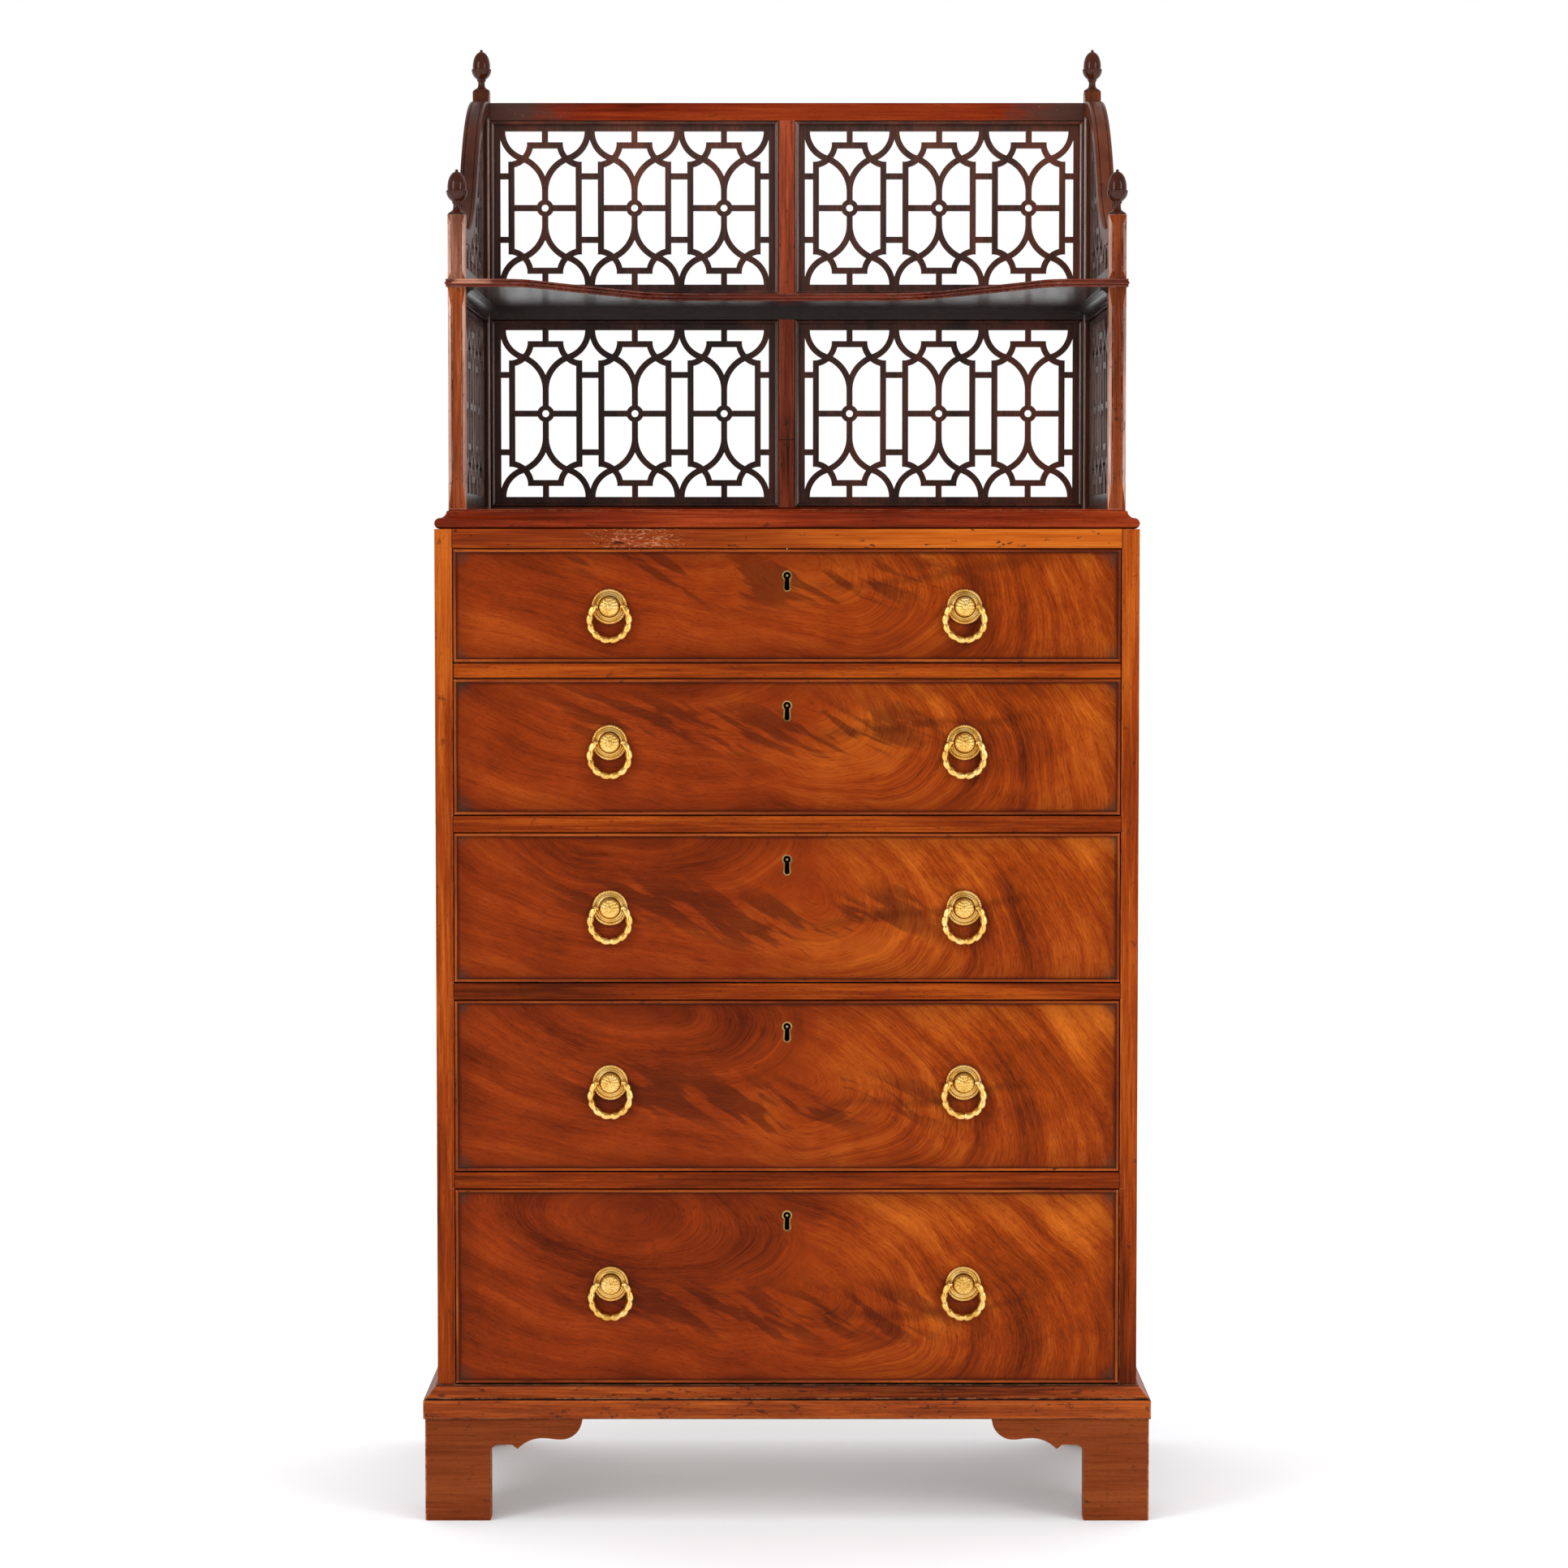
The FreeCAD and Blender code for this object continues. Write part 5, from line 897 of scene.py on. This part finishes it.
def leafed_ring(relief, centre):
    """A ring of husks: each flares from a bound waist and ends in lobed leaf tips over the next one. A stub
    at each end turns in the plate."""
    reach = math.sqrt(RING_RADIUS**2 - RING_DROP**2)
    start = math.atan2(RING_DROP, reach)
    sweep = math.pi + 2 * start
    steps = HUSKS * HUSK_ROWS
    rows = []
    for n in range(steps + 1):
        place = n / steps
        angle = start - sweep * place
        row = []
        for turn in circle(RING_POINTS):
            lobe = abs(math.sin(2 * turn + 0.8))
            part = (place * HUSKS + LOBE_REACH * lobe) % 1.0
            swell = math.sin(math.pi / 2 * min(part / HUSK_FLARE, 1.0)) ** 1.4
            taper = TIP_TAPER * max((part - HUSK_TIP) / (1 - HUSK_TIP), 0) ** 2
            groove = 1 - HUSK_GROOVE * (1 - lobe) ** 2 * hump(part, 0.1, 1.0)
            tube = RING_TUBE * (HUSK_WAIST + (1 - HUSK_WAIST) * swell - taper) * groove
            radius = RING_RADIUS + tube * math.cos(turn)
            row.append((centre[0] + radius * math.cos(angle), FRONT_Y - RING_PIVOT - tube * math.sin(turn),
                        centre[1] - RING_DROP + radius * math.sin(angle)))
        rows.append(row)
    relief.skin(rows)
    for side in (-1, 1):
        rows = []
        for along, size in (*STUB_ROWS, (STUB_END - reach, STUB_LAST)):
            radius = STUB_RADIUS * size
            rows.append([(centre[0] + side * (reach + along), FRONT_Y - RING_PIVOT + radius * math.cos(turn),
                          centre[1] + side * radius * math.sin(turn)) for turn in circle(STUB_POINTS)])
        relief.skin(rows)


def ring_centre(node):
    """The x and height of a handle's pivot, from the box of its ring."""
    low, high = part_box(node)
    return (low.x + high.x) / 2, high.z - RING_BALL


HANDLES = {"fall": ("fall_upper", "fall_lower"), "upper_drawer": ("upper_drawer",),
           "middle_drawer": ("middle_drawer",), "lower_drawer": ("lower_drawer",)}
for body, prefixes in HANDLES.items():
    mounts = Relief()
    for prefix in prefixes:
        for side in ("left", "right"):
            ring = f"{prefix}_ring_{side}"
            centre = ring_centre(ring)
            for angle in circle(GADROONS):
                gadroon(mounts, centre, angle)
            rosette(mounts, centre)
            husks = Relief()
            leafed_ring(husks, centre)
            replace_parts(husks.build(ring + "_husks", ring, gilt), ring)
    mounts.build(body + "_mount_relief", body, gilt)


# Turned acorns over the posts: radius and height above the post, in millimetres

ACORN = ((9.4, 0.0), (9.8, 0.5), (9.8, 1.5), (9.2, 2.2), (7.6, 3.3), (5.4, 4.7), (4.3, 6.2), (3.9, 8.6),
         (3.9, 10.6), (4.2, 12.2), (5.1, 12.8), (5.3, 13.5), (5.0, 14.2), (5.4, 14.8), (7.6, 16.6),
         (9.4, 18.8), (10.6, 21.2), (11.2, 23.6), (11.5, 25.4), (11.6, 26.0), (11.2, 26.5), (10.2, 26.6),
         (10.1, 27.2), (10.2, 29.4), (10.1, 32.0), (9.7, 35.0), (9.0, 38.0), (8.0, 40.6), (6.6, 43.0),
         (4.8, 45.0), (3.0, 46.2), (1.8, 46.6), (1.5, 47.0), (1.8, 47.7), (1.7, 48.4), (1.1, 49.0),
         (0.1, 49.2))
ACORN_POINTS = 48
MILLIMETRE = 0.001
corners = {}
for vertex in nodes["finials"].data.vertices:
    corners.setdefault((vertex.co.x > 0, vertex.co.y > 0), []).append(vertex.co)
acorns = Relief()
for points in corners.values():
    foot, tip = min(p.z for p in points), max(p.z for p in points)
    stretch = (tip - foot) / ACORN[-1][1]
    middle = [(min(p[n] for p in points) + max(p[n] for p in points)) / 2 for n in (0, 1)]
    acorns.skin([[(middle[0] + radius * MILLIMETRE * math.cos(turn),
                   middle[1] + radius * MILLIMETRE * math.sin(turn),
                   foot + height * stretch) for turn in circle(ACORN_POINTS)] for radius, height in ACORN])
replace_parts(acorns.build("acorn_finials", "carcase", finial_wood), "finials")


# Floor, light and camera

FLOOR_HALF = 12.0
floor_mesh = bpy.data.meshes.new("floor")
floor_mesh.from_pydata([(x * FLOOR_HALF, y * FLOOR_HALF, 0) for x, y in ((-1, -1), (1, -1), (1, 1), (-1, 1))],
                       [], [(0, 1, 2, 3)])
floor = bpy.data.objects.new("floor", floor_mesh)
scene.collection.objects.link(floor)
paint = Surface("floor_paint")
floor_mesh.materials.append(paint.finish(
    paint.ramp(paint.noise(paint.place, 3.0), PLAIN_STOPS, FLOOR_TONES), 0.8, Specular_IOR_Level=0.1))

# Levels of the room's light and of its reflections: in front of the chest, behind it and overhead
ROOM_LIGHT = (0.50, 0.8, 1.45)
ROOM_REFLECTION = (0.40, 0.80, 0.35)
# Each lamp's place, the point that it faces, its size, power and colour
WHITE = (1, 1, 1)
LAMPS = {
    "key": ((-2.8, -3.0, 2.2), (0, 0, 1.0), (1.1, 2.2), 42, WHITE),
    "fill": ((3.0, -2.9, 2.0), (0, 0, 1.0), (1.1, 2.2), 30, WHITE),
    "under": ((0, 0.02, 0.10), (0, 0.02, 0), (0.62, 0.34), 0.22, (0.80, 0.92, 1.0)),
}
CAMERA_DISTANCE = 4.6
CAMERA_HEIGHT = 1.046
CAMERA_OFFSET = -0.0033
CAMERA_TILT = 3.02
CAMERA_LENS = 97.64
SENSOR_WIDTH = 36.0


def studio(diffuse, glossy):
    """A white room, plain white to the camera."""
    world = bpy.data.worlds.new("studio")
    world.use_nodes = True
    t = Tree(world.node_tree)
    _, y, z = t.split(t.node("TexCoord").outputs["Generated"])
    path = t.node("LightPath").outputs

    def room(front, behind, overhead):
        level = t.between(t.smooth(y, -0.1, 0.5), front, behind)
        return t.between(t.smooth(z, 0.30, 0.70), level, overhead)

    level = t.between(path["Is Glossy Ray"], room(*diffuse), room(*glossy))
    level = t.between(path["Is Camera Ray"], level, 1.0)
    room_light = t.node("Background", Color=(*WHITE, 1), Strength=level)
    t.tree.links.new(room_light.outputs[0], t.node("OutputWorld").inputs[0])
    return world


def panel_light(name, place, target, size, power, colour):
    light = bpy.data.lights.new(name, "AREA")
    light.shape = "RECTANGLE"
    light.size, light.size_y = size
    light.energy = power
    light.color = colour
    lamp = bpy.data.objects.new(name, light)
    lamp.location = place
    lamp.rotation_euler = (Vector(target) - Vector(place)).to_track_quat("-Z", "Y").to_euler()
    scene.collection.objects.link(lamp)


scene.world = studio(ROOM_LIGHT, ROOM_REFLECTION)
scene.view_settings.view_transform = "Standard"
for name, lamp in LAMPS.items():
    panel_light(name, *lamp)

camera_data = bpy.data.cameras.new("camera")
camera_data.sensor_width = SENSOR_WIDTH
camera_data.lens = CAMERA_LENS
camera = bpy.data.objects.new("camera", camera_data)
camera.location = (CAMERA_OFFSET, FRONT_Y - CAMERA_DISTANCE, CAMERA_HEIGHT)
camera.rotation_euler = (math.radians(90 - CAMERA_TILT), 0, 0)
scene.collection.objects.link(camera)
scene.camera = camera
